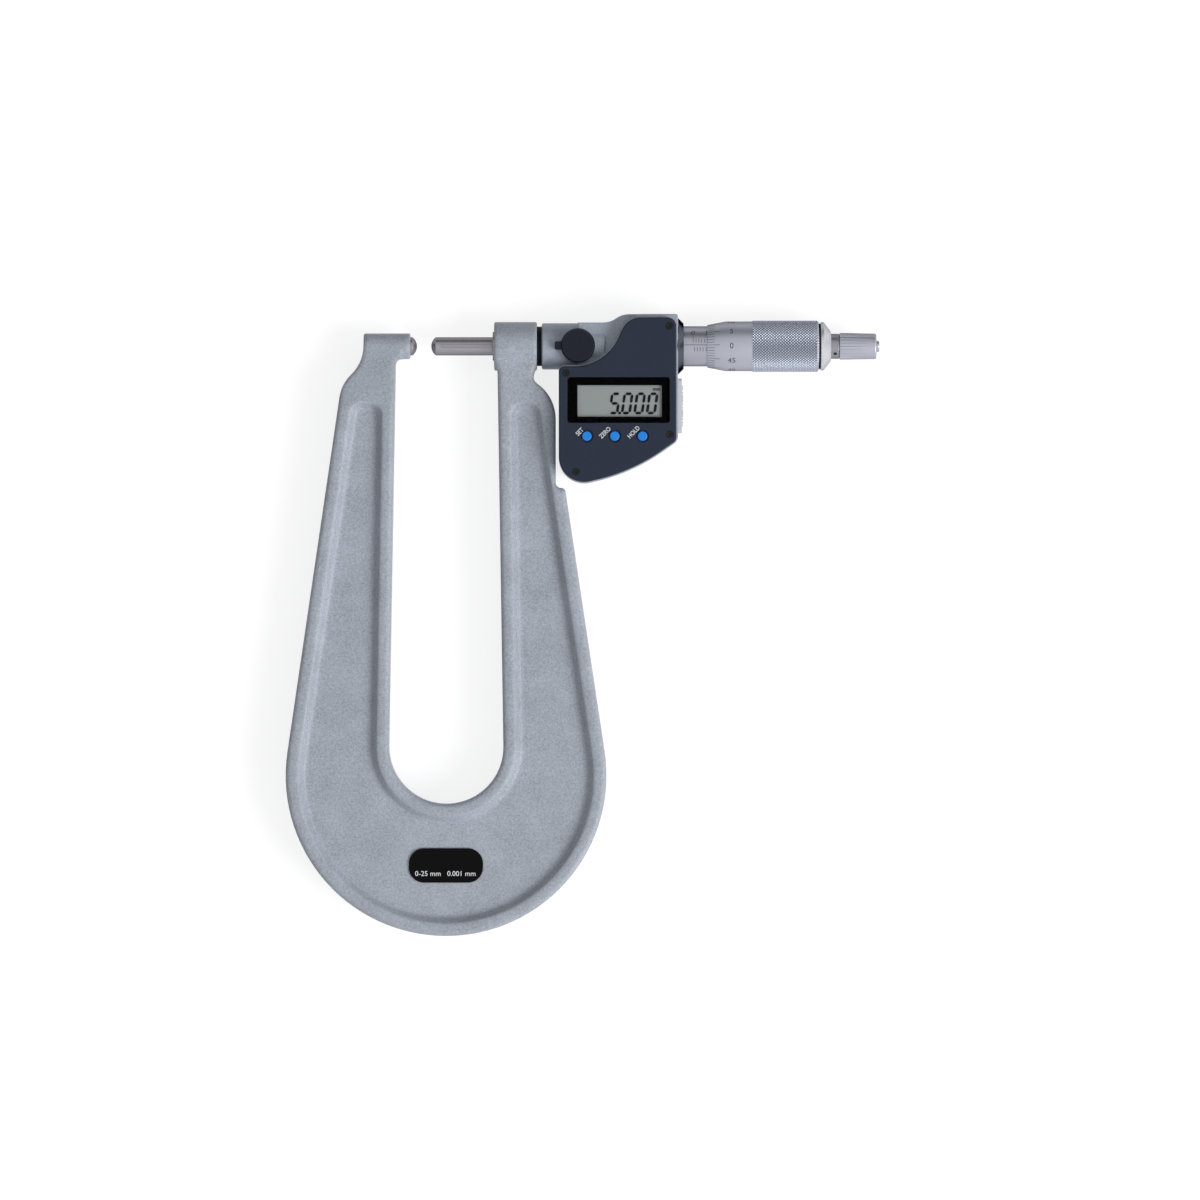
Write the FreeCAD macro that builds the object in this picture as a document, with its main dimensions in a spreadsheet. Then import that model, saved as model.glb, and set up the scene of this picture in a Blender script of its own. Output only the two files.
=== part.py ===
import FreeCAD, Part
import math
import os
import re
import Sketcher
from FreeCAD import Placement, Rotation, Vector

# Sheet metal micrometer, 0 to 25 mm, with a deep throat and a digital head. Millimetres.
# The origin is the tip of the anvil on the measuring axis. X runs along that axis to the
# head, Y runs from the throat to the axis, and Z points up out of the face with the display.

os.makedirs("parts", exist_ok=True)
doc = FreeCAD.newDocument("SheetMetalMicrometer")

# Each size is (name, value, what it is). Lengths are millimetres and angles are degrees.
SIZES = [
    ("reading", 5.0, "gap between the two tips as modelled"),
    ("running_gap", 0.04, "radial clearance of the running fits"),
    ("slip_gap", 0.15, "clearance round a piece that is put in loosely"),
    ("snug_gap", 0.05, "clearance round a piece that is let in"),
    ("overcut", 1.0, "how far a cut runs past the face that it opens"),
    ("edge_break", 0.3, "broken edges of small turned pieces"),
    ("frame_thick", 13.0, "frame across its rims"),
    ("frame_round", 1.4, "rounding of the frame's edges"),
    ("throat_depth", 160.0, "axis to the bottom of the throat"),
    ("throat_radius", 20.0, "round bottom of the throat"),
    ("throat_middle", 10.25, "X of the throat's round bottom"),
    ("throat_left_draft", 0.99, "lean of the anvil arm's inner side"),
    ("throat_right_draft", 0.89, "lean of the spindle arm's inner side"),
    ("bow_wide", 46.0, "frame below the throat"),
    ("bow_radius", 56.0, "outer radius of the bow"),
    ("knee_back", 27.0, "anvil tip back to the knee's outer side"),
    ("step_side", 51.8, "X of the spindle arm's outer side at its step"),
    ("knee_drop", 18.0, "axis to the anvil arm's knee"),
    ("knee_radius", 14.0, "convex bend of the knee"),
    ("knee_slope", 46.0, "steepest lean between knee and neck"),
    ("anvil_boss_back", 18.6, "anvil tip to the back of its boss"),
    ("anvil_boss_front", 2.27, "anvil tip to the front of its boss"),
    ("anvil_boss_dia", 9.0, "round boss that holds the anvil"),
    ("anvil_boss_corner", 2.0, "fillet under the anvil boss"),
    ("boss_foot_flat", 0.2, "flat of the anvil boss beyond that fillet"),
    ("boss_edge", 0.6, "rounding of the bosses' rims"),
    ("anvil_dia", 6.35, "anvil pin"),
    ("anvil_seat", 12.0, "depth of the anvil in its boss"),
    ("tip_radius", 4.0, "ball form of both tips"),
    ("guide_dia", 10.0, "outside of the spindle guide"),
    ("anvil_arm_thick", 8.8, "anvil arm at its top"),
    ("anvil_arm_taper", 20.0, "axis to where the arm starts to thin"),
    ("spindle_boss_front", 27.0, "X of the spindle boss's front face"),
    ("spindle_boss_long", 14.96, "length of the spindle boss"),
    ("spindle_boss_dia", 17.0, "round boss that holds the guide"),
    ("boss_foot_drop", 6.3, "axis to the boss's foot in the throat"),
    ("boss_foot_high", 2.7, "height of the slanted foot"),
    ("shoulder_side", 48.5, "X of the spindle arm's straight outer side"),
    ("shoulder_drop", 25.35, "axis to the shoulder's centre"),
    ("shoulder_radius", 14.8, "convex shoulder"),
    ("notch_radius", 3.0, "concave notch above the shoulder"),
    ("notch_angle", 55.5, "direction from the shoulder to the notch"),
    ("notch_end", 160.0, "direction at which the notch ends"),
    ("boss_blend", 2.0, "rounding where the boss's faces run into the arm"),
    ("step_drop", 49.6, "axis to the step in the outer side"),
    ("step_hollow", 2.0, "concave corner of the step"),
    ("step_corner", 1.5, "convex corner of the step"),
    ("outer_rim", 4.4, "flat rim along the outside"),
    ("inner_rim", 4.2, "flat rim along the throat"),
    ("recess_deep", 2.6, "sunk web below the rim"),
    ("recess_lean", 40.0, "lean of the recess's walls"),
    ("recess_top", 19.6, "axis to the recess's upper ends"),
    ("recess_end", 4.6, "rounding of the recess's upper ends"),
    ("plate_x", 10.2, "X of the name plate's middle"),
    ("plate_below", 21.4, "throat's bottom to the name plate's middle"),
    ("plate_wide", 25.9, "name plate along X"),
    ("plate_high", 12.0, "name plate along Y"),
    ("plate_round", 5.3, "rounding of the name plate"),
    ("plate_thick", 0.5, "name plate"),
    ("spindle_dia", 6.35, "ground front of the spindle"),
    ("groove_wide", 1.3, "key groove along the spindle"),
    ("groove_deep", 0.9, "key groove"),
    ("groove_from", 3.5, "spindle tip to the groove"),
    ("groove_stop", 1.0, "end of the key groove to the thread"),
    ("thread_gap", 1.55, "sleeve's seat for the hub to the thread when closed"),
    ("thread_dia", 7.4, "outside of the spindle's thread"),
    ("back_gap", 0.4, "inner sleeve to the thimble's inner wall when closed"),
    ("taper_long", 6.5, "length of the taper"),
    ("taper_dia", 6.4, "small end of the taper"),
    ("stub_dia", 5.0, "threaded stub behind the taper"),
    ("stub_long", 7.0, "length of the stub"),
    ("guide_proud", 0.5, "guide before the boss's face"),
    ("guide_reach", 8.0, "guide's length inside the head"),
    ("wiper_dia", 8.2, "outside of the wiper ring"),
    ("wiper_long", 1.5, "wiper ring along X"),
    ("wiper_lip", 0.5, "guide's lip before the wiper"),
    ("guide_bevel", 0.12, "bevel of the guide's front edge"),
    ("seal_dia", 13.8, "black ring between boss and head"),
    ("seal_long", 1.71, "black ring along X"),
    ("tube_dia", 16.2, "head's tube round the spindle"),
    ("tube_long", 22.0, "length of the tube to the housing"),
    ("spindle_room", 7.2, "bore of the head round the spindle"),
    ("cover_left", 49.75, "X of the cover's left side"),
    ("cover_right", 90.6, "X of the cover's right side"),
    ("cover_top", 9.75, "axis up to the cover's top"),
    ("cover_corner", 3.1, "rounding of the cover's top right corner"),
    ("shelf_drop", 7.3, "axis to the cover's lower left top"),
    ("shelf_corner", 1.75, "rounding at the left end of that top"),
    ("swoop_foot", 66.0, "X where that top would meet the slope"),
    ("swoop_lean", 66.0, "slope up to the cover's upper part"),
    ("swoop_hollow", 16.8, "hollow below the slope"),
    ("swoop_crown", 7.3, "round above the slope"),
    ("right_low", 33.2, "axis to the cover's lower right corner"),
    ("right_round", 2.0, "rounding of that corner"),
    ("belly_x", 75.3, "X of the bend in the lower side"),
    ("belly_drop", 43.9, "axis to that bend"),
    ("belly_round", 66.0, "radius of that bend"),
    ("left_low", 49.9, "axis to the lower left corner before rounding"),
    ("left_round", 8.8, "rounding of the lower left corner"),
    ("cover_thick", 2.5, "front cover"),
    ("cover_wall", 1.8, "face of the front cover"),
    ("cover_rim", 2.4, "rim of the cover that sits on the housing"),
    ("cover_edge", 0.5, "rounding of the cover's front edge"),
    ("border_left", 0.15, "housing beyond the cover on the left"),
    ("border_shelf", 0.5, "housing beyond the cover along the swoop"),
    ("border_top", 1.25, "housing above the cover"),
    ("border_right", 0.6, "housing beyond the cover on the right"),
    ("border_low", 0.3, "housing below the cover"),
    ("head_corner", 0.8, "rounding of the housing's upper right corner"),
    ("least_round", 0.6, "smallest rounding of the head's corners"),
    ("head_front", 9.5, "axis to the housing's front rim"),
    ("head_back", 10.0, "axis to the housing's back"),
    ("head_floor", 2.2, "housing's back wall"),
    ("head_wall", 3.0, "housing's side walls"),
    ("head_round", 2.0, "rounding of the housing's back edges"),
    ("shoulder_from", 67.5, "X where the housing's top starts to rise"),
    ("shoulder_long", 4.2, "length of the rise"),
    ("shoulder_bend", 8.0, "bends of the rise"),
    ("shoulder_thick", 13.9, "raised shoulder across Z"),
    ("gasket_in", 0.6, "cover's edge to the gasket"),
    ("gasket_wide", 0.7, "gasket"),
    ("gasket_thick", 0.6, "gasket between cover and housing"),
    ("screw_head_dia", 2.7, "cover screw's head"),
    ("screw_head_high", 1.1, "cover screw's head"),
    ("screw_sink", 1.2, "counterbore for the head"),
    ("screw_dia", 1.5, "cover screw"),
    ("screw_long", 5.4, "cover screw below its head"),
    ("socket_dia", 1.1, "socket in the screw's head"),
    ("socket_deep", 0.7, "socket in the screw's head"),
    ("post_dia", 3.8, "post for a cover screw"),
    ("post_long", 5.1, "post for a cover screw"),
    ("tap_floor", 0.3, "post left below its tapped hole"),
    ("screw_top_x", 88.1, "X of the upper right screw"),
    ("screw_top_y", 6.8, "Y of the upper right screw"),
    ("screw_left_x", 52.1, "X of the upper left screw"),
    ("screw_left_y", -9.6, "Y of the upper left screw"),
    ("screw_right_x", 88.2, "X of the lower right screw"),
    ("screw_right_y", -31.0, "Y of the lower right screw"),
    ("screw_low_x", 55.5, "X of the lower left screw"),
    ("screw_low_y", -44.0, "Y of the lower left screw"),
    ("window_x", 70.45, "X of the window's middle"),
    ("window_drop", 19.0, "axis to the window's middle"),
    ("window_wide", 35.8, "window along X"),
    ("window_high", 16.05, "window along Y"),
    ("window_round", 1.0, "rounding of the window"),
    ("window_thick", 1.0, "window"),
    ("sight_wide", 31.0, "opening behind the window along X"),
    ("sight_high", 12.4, "opening behind the window along Y"),
    ("lcd_wide", 32.5, "display glass along X"),
    ("lcd_high", 13.5, "display glass along Y"),
    ("lcd_thick", 1.1, "display glass"),
    ("board_drop", 3.9, "housing's front rim to the board's face"),
    ("board_thick", 1.6, "circuit board"),
    ("board_inset", 1.7, "housing's wall to the board"),
    ("board_round", 1.0, "rounding of the board's corners"),
    ("leg_dia", 2.5, "leg under the board"),
    ("leg_left_x", 58.0, "X of the upper left leg"),
    ("leg_right_x", 84.0, "X of the upper right leg"),
    ("leg_drop", 14.8, "axis to the upper legs"),
    ("leg_low_x", 61.0, "X of the lower leg"),
    ("leg_low_drop", 39.0, "axis to the lower leg"),
    ("strip_long", 30.0, "elastomer strip along X"),
    ("strip_wide", 1.2, "elastomer strip"),
    ("strip_apart", 11.4, "from strip to strip"),
    ("button_first_x", 59.4, "X of the first button"),
    ("button_pitch", 9.7, "from button to button"),
    ("button_drop", 31.6, "axis to the buttons"),
    ("button_dia", 3.35, "button's cap"),
    ("button_proud", 0.3, "button above the cover"),
    ("button_well_dia", 4.7, "sunk ring round a button"),
    ("button_well_deep", 0.6, "sunk ring round a button"),
    ("button_flange_dia", 4.8, "button's flange under the cover"),
    ("button_flange", 0.8, "thickness of the flange"),
    ("button_travel", 0.4, "push of a button"),
    ("mat_wide", 6.2, "key pad's strip along Y"),
    ("mat_thick", 0.8, "key pad's strip"),
    ("mat_end", 3.7, "key pad beyond its end plungers"),
    ("mat_round", 1.0, "rounding of the key pad"),
    ("mat_key_dia", 3.4, "key pad's plungers"),
    ("dome_dia", 3.2, "snap dome"),
    ("dome_high", 0.45, "snap dome"),
    ("cell_x", 69.5, "X of the battery's middle"),
    ("cell_drop", 24.5, "axis to the battery's middle"),
    ("cell_dia", 11.6, "battery cell"),
    ("cell_high", 5.4, "battery cell"),
    ("cell_step", 1.0, "step round the top of the cell"),
    ("cell_room", 12.0, "bore of the battery holder"),
    ("holder_dia", 16.4, "outside of the battery holder"),
    ("holder_roof", 2.5, "top of the battery holder"),
    ("leaf_thick", 0.3, "contact leaves"),
    ("side_leaf_wide", 4.0, "contact leaf beside the cell"),
    ("top_leaf_wide", 3.0, "contact leaf over the cell"),
    ("top_leaf_long", 7.0, "contact leaf over the cell"),
    ("leaf_touch", 2.0, "flat of that leaf on the cell"),
    ("cap_dia", 17.1, "battery cap"),
    ("cap_thick", 1.15, "battery cap's flange"),
    ("cap_sink", 1.2, "depth of the cap's seat"),
    ("cap_neck_dia", 14.3, "battery cap's threaded neck"),
    ("cap_neck_long", 0.9, "battery cap's neck"),
    ("coin_slot_long", 12.0, "slot for a coin"),
    ("coin_slot_wide", 1.6, "slot for a coin"),
    ("coin_slot_deep", 0.7, "slot for a coin"),
    ("ring_in_dia", 15.0, "inside of the battery cap's seal"),
    ("ring_wide", 0.8, "width of that seal"),
    ("ring_thick", 0.6, "thickness of that seal"),
    ("ring_squeeze", 0.02, "seal above the cap's groove"),
    ("port_drop", 20.85, "axis to the middle of the output cap"),
    ("port_cap_long", 18.9, "output cap along Y"),
    ("port_cap_high", 10.0, "output cap along Z"),
    ("port_cap_thick", 1.4, "output cap's plate"),
    ("port_cap_round", 1.0, "rounding of the output cap"),
    ("port_cap_border", 2.0, "plain ends of the output cap beside its ribs"),
    ("port_lip", 0.4, "output cap's lip in the socket's opening"),
    ("port_rib_high", 0.5, "ribs on the output cap"),
    ("port_rib_pitch", 1.05, "from rib to rib"),
    ("port_long", 9.4, "data socket along Y"),
    ("port_high", 4.8, "data socket along Z"),
    ("port_deep", 9.0, "data socket along X"),
    ("port_sunk", 0.5, "socket's face below the housing's side"),
    ("port_wall", 0.8, "wall round the socket's contacts"),
    ("port_pin_deep", 3.0, "depth of the socket's contacts"),
    ("knob_x", 56.3, "X of the clamp knob"),
    ("knob_dia", 12.0, "clamp knob"),
    ("knob_top_dia", 10.8, "flat top of the clamp knob"),
    ("knob_high", 2.65, "clamp knob"),
    ("knob_bevel", 0.8, "height of the knob's bevel"),
    ("knob_lift", 8.35, "axis to the knob's underside"),
    ("knob_gap", 0.1, "gap below the knob"),
    ("tab_reach", 8.1, "knob's middle to the tip of its tab"),
    ("tab_wide", 2.9, "knob's tab"),
    ("tab_high", 2.0, "knob's tab"),
    ("tab_round", 0.6, "rounding of the tab"),
    ("clamp_dia", 4.4, "clamp screw"),
    ("clamp_stud_dia", 3.2, "stud inside the knob"),
    ("clamp_stud_long", 1.8, "stud inside the knob"),
    ("shoe_high", 1.3, "brass shoe under the clamp screw"),
    ("shoe_gap", 0.06, "shoe to the spindle when free"),
    ("boss_inner_dia", 11.0, "boss round the spindle inside the head"),
    ("stator_from", 78.0, "X of the encoder's stator"),
    ("stator_thick", 1.6, "stator along X"),
    ("stator_dia", 12.2, "stator"),
    ("rotor_gap", 0.6, "stator to rotor"),
    ("rotor_disc", 1.6, "rotor's disc along X"),
    ("rotor_dia", 12.0, "rotor's disc"),
    ("rotor_neck", 2.0, "rotor's collar along X"),
    ("rotor_neck_dia", 10.8, "rotor's collar"),
    ("rotor_hub", 2.8, "rotor's hub along X"),
    ("rotor_hub_dia", 9.2, "rotor's hub"),
    ("key_dia", 1.2, "key pin in the rotor"),
    ("barrel_from", 84.0, "X of the inner sleeve's front"),
    ("barrel_long", 43.6, "inner sleeve"),
    ("barrel_dia", 12.2, "inner sleeve"),
    ("barrel_hub_deep", 2.8, "seat of the rotor's hub"),
    ("barrel_rear", 5.6, "threaded rear of the inner sleeve"),
    ("barrel_rear_dia", 11.6, "threaded rear of the inner sleeve"),
    ("bezel_dia", 19.5, "polished ring"),
    ("bezel_small_dia", 16.05, "small end of its bevel"),
    ("bezel_long", 2.0, "polished ring along X"),
    ("sleeve_dia", 14.05, "scale sleeve"),
    ("adjust_dia", 13.8, "adjusting nut"),
    ("adjust_long", 4.4, "adjusting nut along X"),
    ("nut_notch_long", 0.8, "spanner notch in the nut along X"),
    ("nut_notch_wide", 1.2, "spanner notch in the nut"),
    ("thimble_from", 96.5, "spindle tip to the thimble's edge"),
    ("thimble_edge_dia", 14.9, "thimble's edge"),
    ("thimble_bevel", 6.4, "thimble's bevel along X"),
    ("thimble_dia", 17.4, "plain part of the thimble"),
    ("thimble_plain", 9.4, "plain part along X"),
    ("knurl_dia", 18.08, "knurled part of the thimble"),
    ("taper_short", 0.9, "taper's end to the thimble's end"),
    ("thimble_end", 0.6, "chamfer behind the knurl"),
    ("thimble_bore", 14.4, "bore of the thimble"),
    ("washer_dia", 15.9, "dark ring behind the thimble"),
    ("washer_thick", 0.7, "dark ring behind the thimble"),
    ("cap_end_dia", 16.9, "end cap"),
    ("cap_end_rim", 1.1, "end cap's straight rim"),
    ("cap_end_cone", 2.5, "end cap's cone"),
    ("cap_end_small", 10.35, "small end of the cone"),
    ("neck_dia", 8.75, "ratchet's neck"),
    ("neck_long", 2.9, "ratchet's neck"),
    ("crown_dia", 6.8, "toothed crown of the neck"),
    ("crown_long", 1.6, "toothed crown of the neck"),
    ("teeth", 12, "teeth round the crown"),
    ("tooth_wide", 0.8, "gap between two teeth"),
    ("tooth_deep", 0.45, "depth of the teeth"),
    ("pin_hole_dia", 1.3, "hole for a spanner pin"),
    ("pin_hole_deep", 1.2, "hole for a spanner pin"),
    ("pin_hole_turn", 38.0, "how far that hole is turned from the face"),
    ("ratchet_gap", 0.1, "gap between the neck and the knob"),
    ("grip_dia", 9.37, "front of the fluted knob"),
    ("grip_end_dia", 8.9, "rear of the fluted knob"),
    ("grip_long", 12.9, "fluted knob"),
    ("grip_round", 0.6, "rounding of the knob's end"),
    ("grip_bore", 7.4, "bore of the knob"),
    ("grip_end_wall", 2.1, "end wall of the knob"),
    ("flutes", 24, "flutes round the knob"),
    ("flute_dia", 0.7, "width of a flute"),
    ("flute_out", 0.12, "middle of a flute beyond the knob's surface"),
    ("rib_wide", 1.2, "ribs that drive the pawl"),
    ("rib_high", 0.6, "ribs that drive the pawl"),
    ("rib_root", 0.2, "ribs' root in the knob's wall"),
    ("pawl_gap", 0.15, "crown to pawl"),
    ("pawl_thick", 2.0, "pawl along X"),
    ("pawl_dia", 6.9, "pawl"),
    ("spring_dia", 5.2, "middle of the spring's coil"),
    ("spring_wire", 0.55, "spring's wire"),
    ("spring_halves", 7, "half turns of the spring"),
    ("end_screw_dia", 3.0, "screw through the knob"),
    ("end_head_dia", 3.9, "head of that screw"),
    ("end_head_high", 1.0, "head of that screw"),
    ("end_slot", 0.6, "slot in that head"),
]

sheet = doc.addObject("Spreadsheet::Sheet", "Sizes")
for row, (alias, number, meaning) in enumerate(SIZES, start=1):
    sheet.set(f"A{row}", alias)
    sheet.set(f"B{row}", str(number))
    sheet.set(f"C{row}", meaning)
    sheet.setAlias(f"B{row}", alias)
doc.recompute()
ALIASES = {alias for alias, number, meaning in SIZES}


def bound(expression):
    """The expression with the sheet named before each of its sizes."""
    words = re.compile(r"[a-z]\w*")
    return words.sub(lambda word: f"Sizes.{word[0]}" if word[0] in ALIASES else word[0], expression)


def number(expression):
    """What an expression comes to with the sheet's present sizes."""
    return float(sheet.evalExpression(bound(expression)))


def bind(feature, setting, expression):
    """Ties one setting of a feature to an expression of sizes."""
    feature.setExpression(setting, bound(expression))


def new_body(label, place=None):
    """A body named after its piece, moved to a place (x, y, z) where one is given."""
    body = doc.addObject("PartDesign::Body", label)
    body.Label = label
    if place:
        for side, expression in zip("xyz", place):
            bind(body, f"Placement.Base.{side}", expression)
    return body


def new_sketch(body, plane, lift="0"):
    """A sketch on one of the body's own planes, lifted off it along the plane's normal."""
    sketch = body.newObject("Sketcher::SketchObject", f"{body.Label}_sketch")
    support = next(item for item in body.Origin.OriginFeatures if item.Role == plane)
    sketch.AttachmentSupport = [(support, "")]
    sketch.MapMode = "FlatFace"
    bind(sketch, "AttachmentOffset.Base.z", lift)
    return sketch


def bow(radius, turn, wide=False):
    """Between two corners: an arc that turns left (1) or right (-1), the long way round if wide."""
    return ("bow", radius, turn, wide)


def arc_between(start, end, radius, turn, wide):
    """An arc's edge between two points. Its own direction is always to the left."""
    half = (end - start) * 0.5
    reach = math.sqrt(max(radius * radius - half.Length ** 2, 0.0))
    side = Vector(-half.y, half.x, 0).normalize() * (reach * turn * (-1 if wide else 1))
    centre = start + half + side
    first, last = (start, end) if turn > 0 else (end, start)
    circle = Part.Circle(centre, Vector(0, 0, 1), radius)
    angles = [math.atan2(point.y - centre.y, point.x - centre.x) for point in (first, last)]
    return Part.ArcOfCircle(circle, *angles)


def draw(sketch, path):
    """Draws one closed outline of corners (x, y) or (x, y, rounding), with a bow where a side is round."""
    corners = [item for item in path if item[0] != "bow"]
    sides = []
    for place, item in enumerate(path):
        if item[0] != "bow":
            after = path[(place + 1) % len(path)]
            sides.append(after if after[0] == "bow" else None)
    count = len(corners)
    points = [Vector(number(item[0]), number(item[1]), 0) for item in corners]
    rounded = [len(item) == 3 for item in corners]
    leave = list(points)
    arrive = list(points)
    for index in range(count):
        if rounded[index]:
            back = (points[index - 1] - points[index]).normalize()
            ahead = (points[(index + 1) % count] - points[index]).normalize()
            reach = number(corners[index][2]) / math.tan(back.getAngle(ahead) / 2)
            arrive[index] = points[index] + back * reach
            leave[index] = points[index] + ahead * reach
    rules = []
    ties = []

    def rule(*terms, tie=None):
        rules.append(Sketcher.Constraint(*terms))
        ties.append(tie)

    edges = []
    for index in range(count):
        start, end = leave[index], arrive[(index + 1) % count]
        if sides[index]:
            kind, radius, turn, wide = sides[index]
            edge = sketch.addGeometry(arc_between(start, end, number(radius), turn, wide), False)
            edges.append((edge, 1, 2) if turn > 0 else (edge, 2, 1))
            rule("Radius", edge, number(radius), tie=radius)
        else:
            edges.append((sketch.addGeometry(Part.LineSegment(start, end), False), 1, 2))
    for index in range(count):
        before, end_side = edges[index - 1][0], edges[index - 1][2]
        after, start_side = edges[index][0], edges[index][1]
        if rounded[index]:
            pin = sketch.addGeometry(Part.Point(points[index]), True)
            back, ahead = arrive[index] - points[index], leave[index] - points[index]
            turn = 1 if ahead.cross(back).z > 0 else -1
            radius = number(corners[index][2])
            curve = sketch.addGeometry(arc_between(arrive[index], leave[index], radius, turn, False), False)
            first, last = (1, 2) if turn > 0 else (2, 1)
            rule("PointOnObject", pin, 1, before)
            rule("PointOnObject", pin, 1, after)
            rule("Tangent", before, end_side, curve, first)
            rule("Tangent", curve, last, after, start_side)
            rule("Radius", curve, radius, tie=corners[index][2])
            held, end = pin, 1
        else:
            rule("Coincident", before, end_side, after, start_side)
            held, end = after, start_side
        rule("DistanceX", -1, 1, held, end, points[index].x, tie=corners[index][0])
        rule("DistanceY", -1, 1, held, end, points[index].y, tie=corners[index][1])
    start = sketch.ConstraintCount
    sketch.addConstraint(rules)
    for offset, tie in enumerate(ties):
        if tie:
            bind(sketch, f"Constraints[{start + offset}]", tie)
    return sketch


def draw_circle(sketch, x, y, radius):
    """Draws one circle with its centre and radius tied to the sizes."""
    centre = Vector(number(x), number(y), 0)
    start = sketch.ConstraintCount
    circle = sketch.addGeometry(Part.Circle(centre, Vector(0, 0, 1), number(radius)), False)
    sketch.addConstraint([
        Sketcher.Constraint("DistanceX", -1, 1, circle, 3, centre.x),
        Sketcher.Constraint("DistanceY", -1, 1, circle, 3, centre.y),
        Sketcher.Constraint("Radius", circle, number(radius)),
    ])
    for offset, tie in enumerate((x, y, radius)):
        bind(sketch, f"Constraints[{start + offset}]", tie)
    return sketch


def pad(body, sketch, length, both_ways=False, reverse=False):
    """Material along the sketch's normal."""
    feature = body.newObject("PartDesign::Pad", f"{body.Label}_pad")
    feature.Profile = sketch
    bind(feature, "Length", length)
    feature.Midplane = both_ways
    feature.Reversed = reverse
    return feature


def pocket(body, sketch, length, both_ways=False, reverse=False):
    """A cut against the sketch's normal, or along it if reversed."""
    feature = body.newObject("PartDesign::Pocket", f"{body.Label}_pocket")
    feature.Profile = sketch
    bind(feature, "Length", length)
    feature.Midplane = both_ways
    feature.Reversed = reverse
    return feature


def turn(body, path, plane="XY_Plane", axis="H_Axis", cut=False):
    """Turned form: the outline swept round the sketch's level (H) or upright (V) axis."""
    sketch = draw(new_sketch(body, plane), path)
    kind = "Groove" if cut else "Revolution"
    feature = body.newObject(f"PartDesign::{kind}", f"{body.Label}_turn")
    feature.Profile = sketch
    feature.ReferenceAxis = (sketch, [axis])
    feature.Angle = 360
    return feature


def fillet(body, radius, chosen):
    """Rounds the edges of the body that pass the test."""
    doc.recompute()
    base = body.Tip
    names = [f"Edge{place}" for place, edge in enumerate(base.Shape.Edges, start=1) if chosen(edge)]
    feature = body.newObject("PartDesign::Fillet", f"{body.Label}_fillet")
    feature.Base = (base, names)
    bind(feature, "Radius", radius)
    return feature


def mirror(body, feature, plane="XY_Plane"):
    """Repeats a feature on the other side of one of the body's planes."""
    copy = body.newObject("PartDesign::Mirrored", f"{body.Label}_mirror")
    copy.Originals = [feature]
    copy.MirrorPlane = (next(item for item in body.Origin.OriginFeatures if item.Role == plane), [""])
    body.Tip = copy
    return copy


def flank_lean(wide, high):
    """Lean of a flank that touches the bow's round and passes wide of its middle at a height above it."""
    return f"(atan2({high}; {wide}) - acos(bow_radius / hypot({wide}; {high})))"


# Lines of the frame that more than one outline follows
BOW_Y = "(bow_radius - throat_depth - bow_wide)"
LEFT_LEAN = flank_lean("(throat_middle + knee_back)", f"(-knee_drop - {BOW_Y})")
RIGHT_LEAN = flank_lean("(step_side - throat_middle)", f"(-step_drop - {BOW_Y})")
THROAT_Y = "(throat_radius - throat_depth)"
SPINDLE_BOSS_BACK = "(spindle_boss_front + spindle_boss_long)"


def throat_side(side, inset, y):
    """X of the throat's left (-1) or right (1) side at a height, moved outward by an inset."""
    lean = "throat_left_draft" if side < 0 else "throat_right_draft"
    reach = f"((throat_radius + {inset}) / cos({lean}) - ({y} - {THROAT_Y}) * tan({lean}))"
    return f"(throat_middle + {side} * {reach})"


def flank_side(side, inset, y):
    """X of the frame's outer left (-1) or right (1) flank at a height, moved inward by an inset."""
    lean = LEFT_LEAN if side < 0 else RIGHT_LEAN
    reach = f"((bow_radius - {inset}) / cos({lean}) - ({y} - {BOW_Y}) * tan({lean}))"
    return f"(throat_middle + {side} * {reach})"


def touch(side, centre_y, radius, lean):
    """Where a flank that leans inward touches its round bottom."""
    x = f"(throat_middle + {side} * {radius} * cos({lean}))"
    return (x, f"({centre_y} + {radius} * sin({lean}))")


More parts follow.
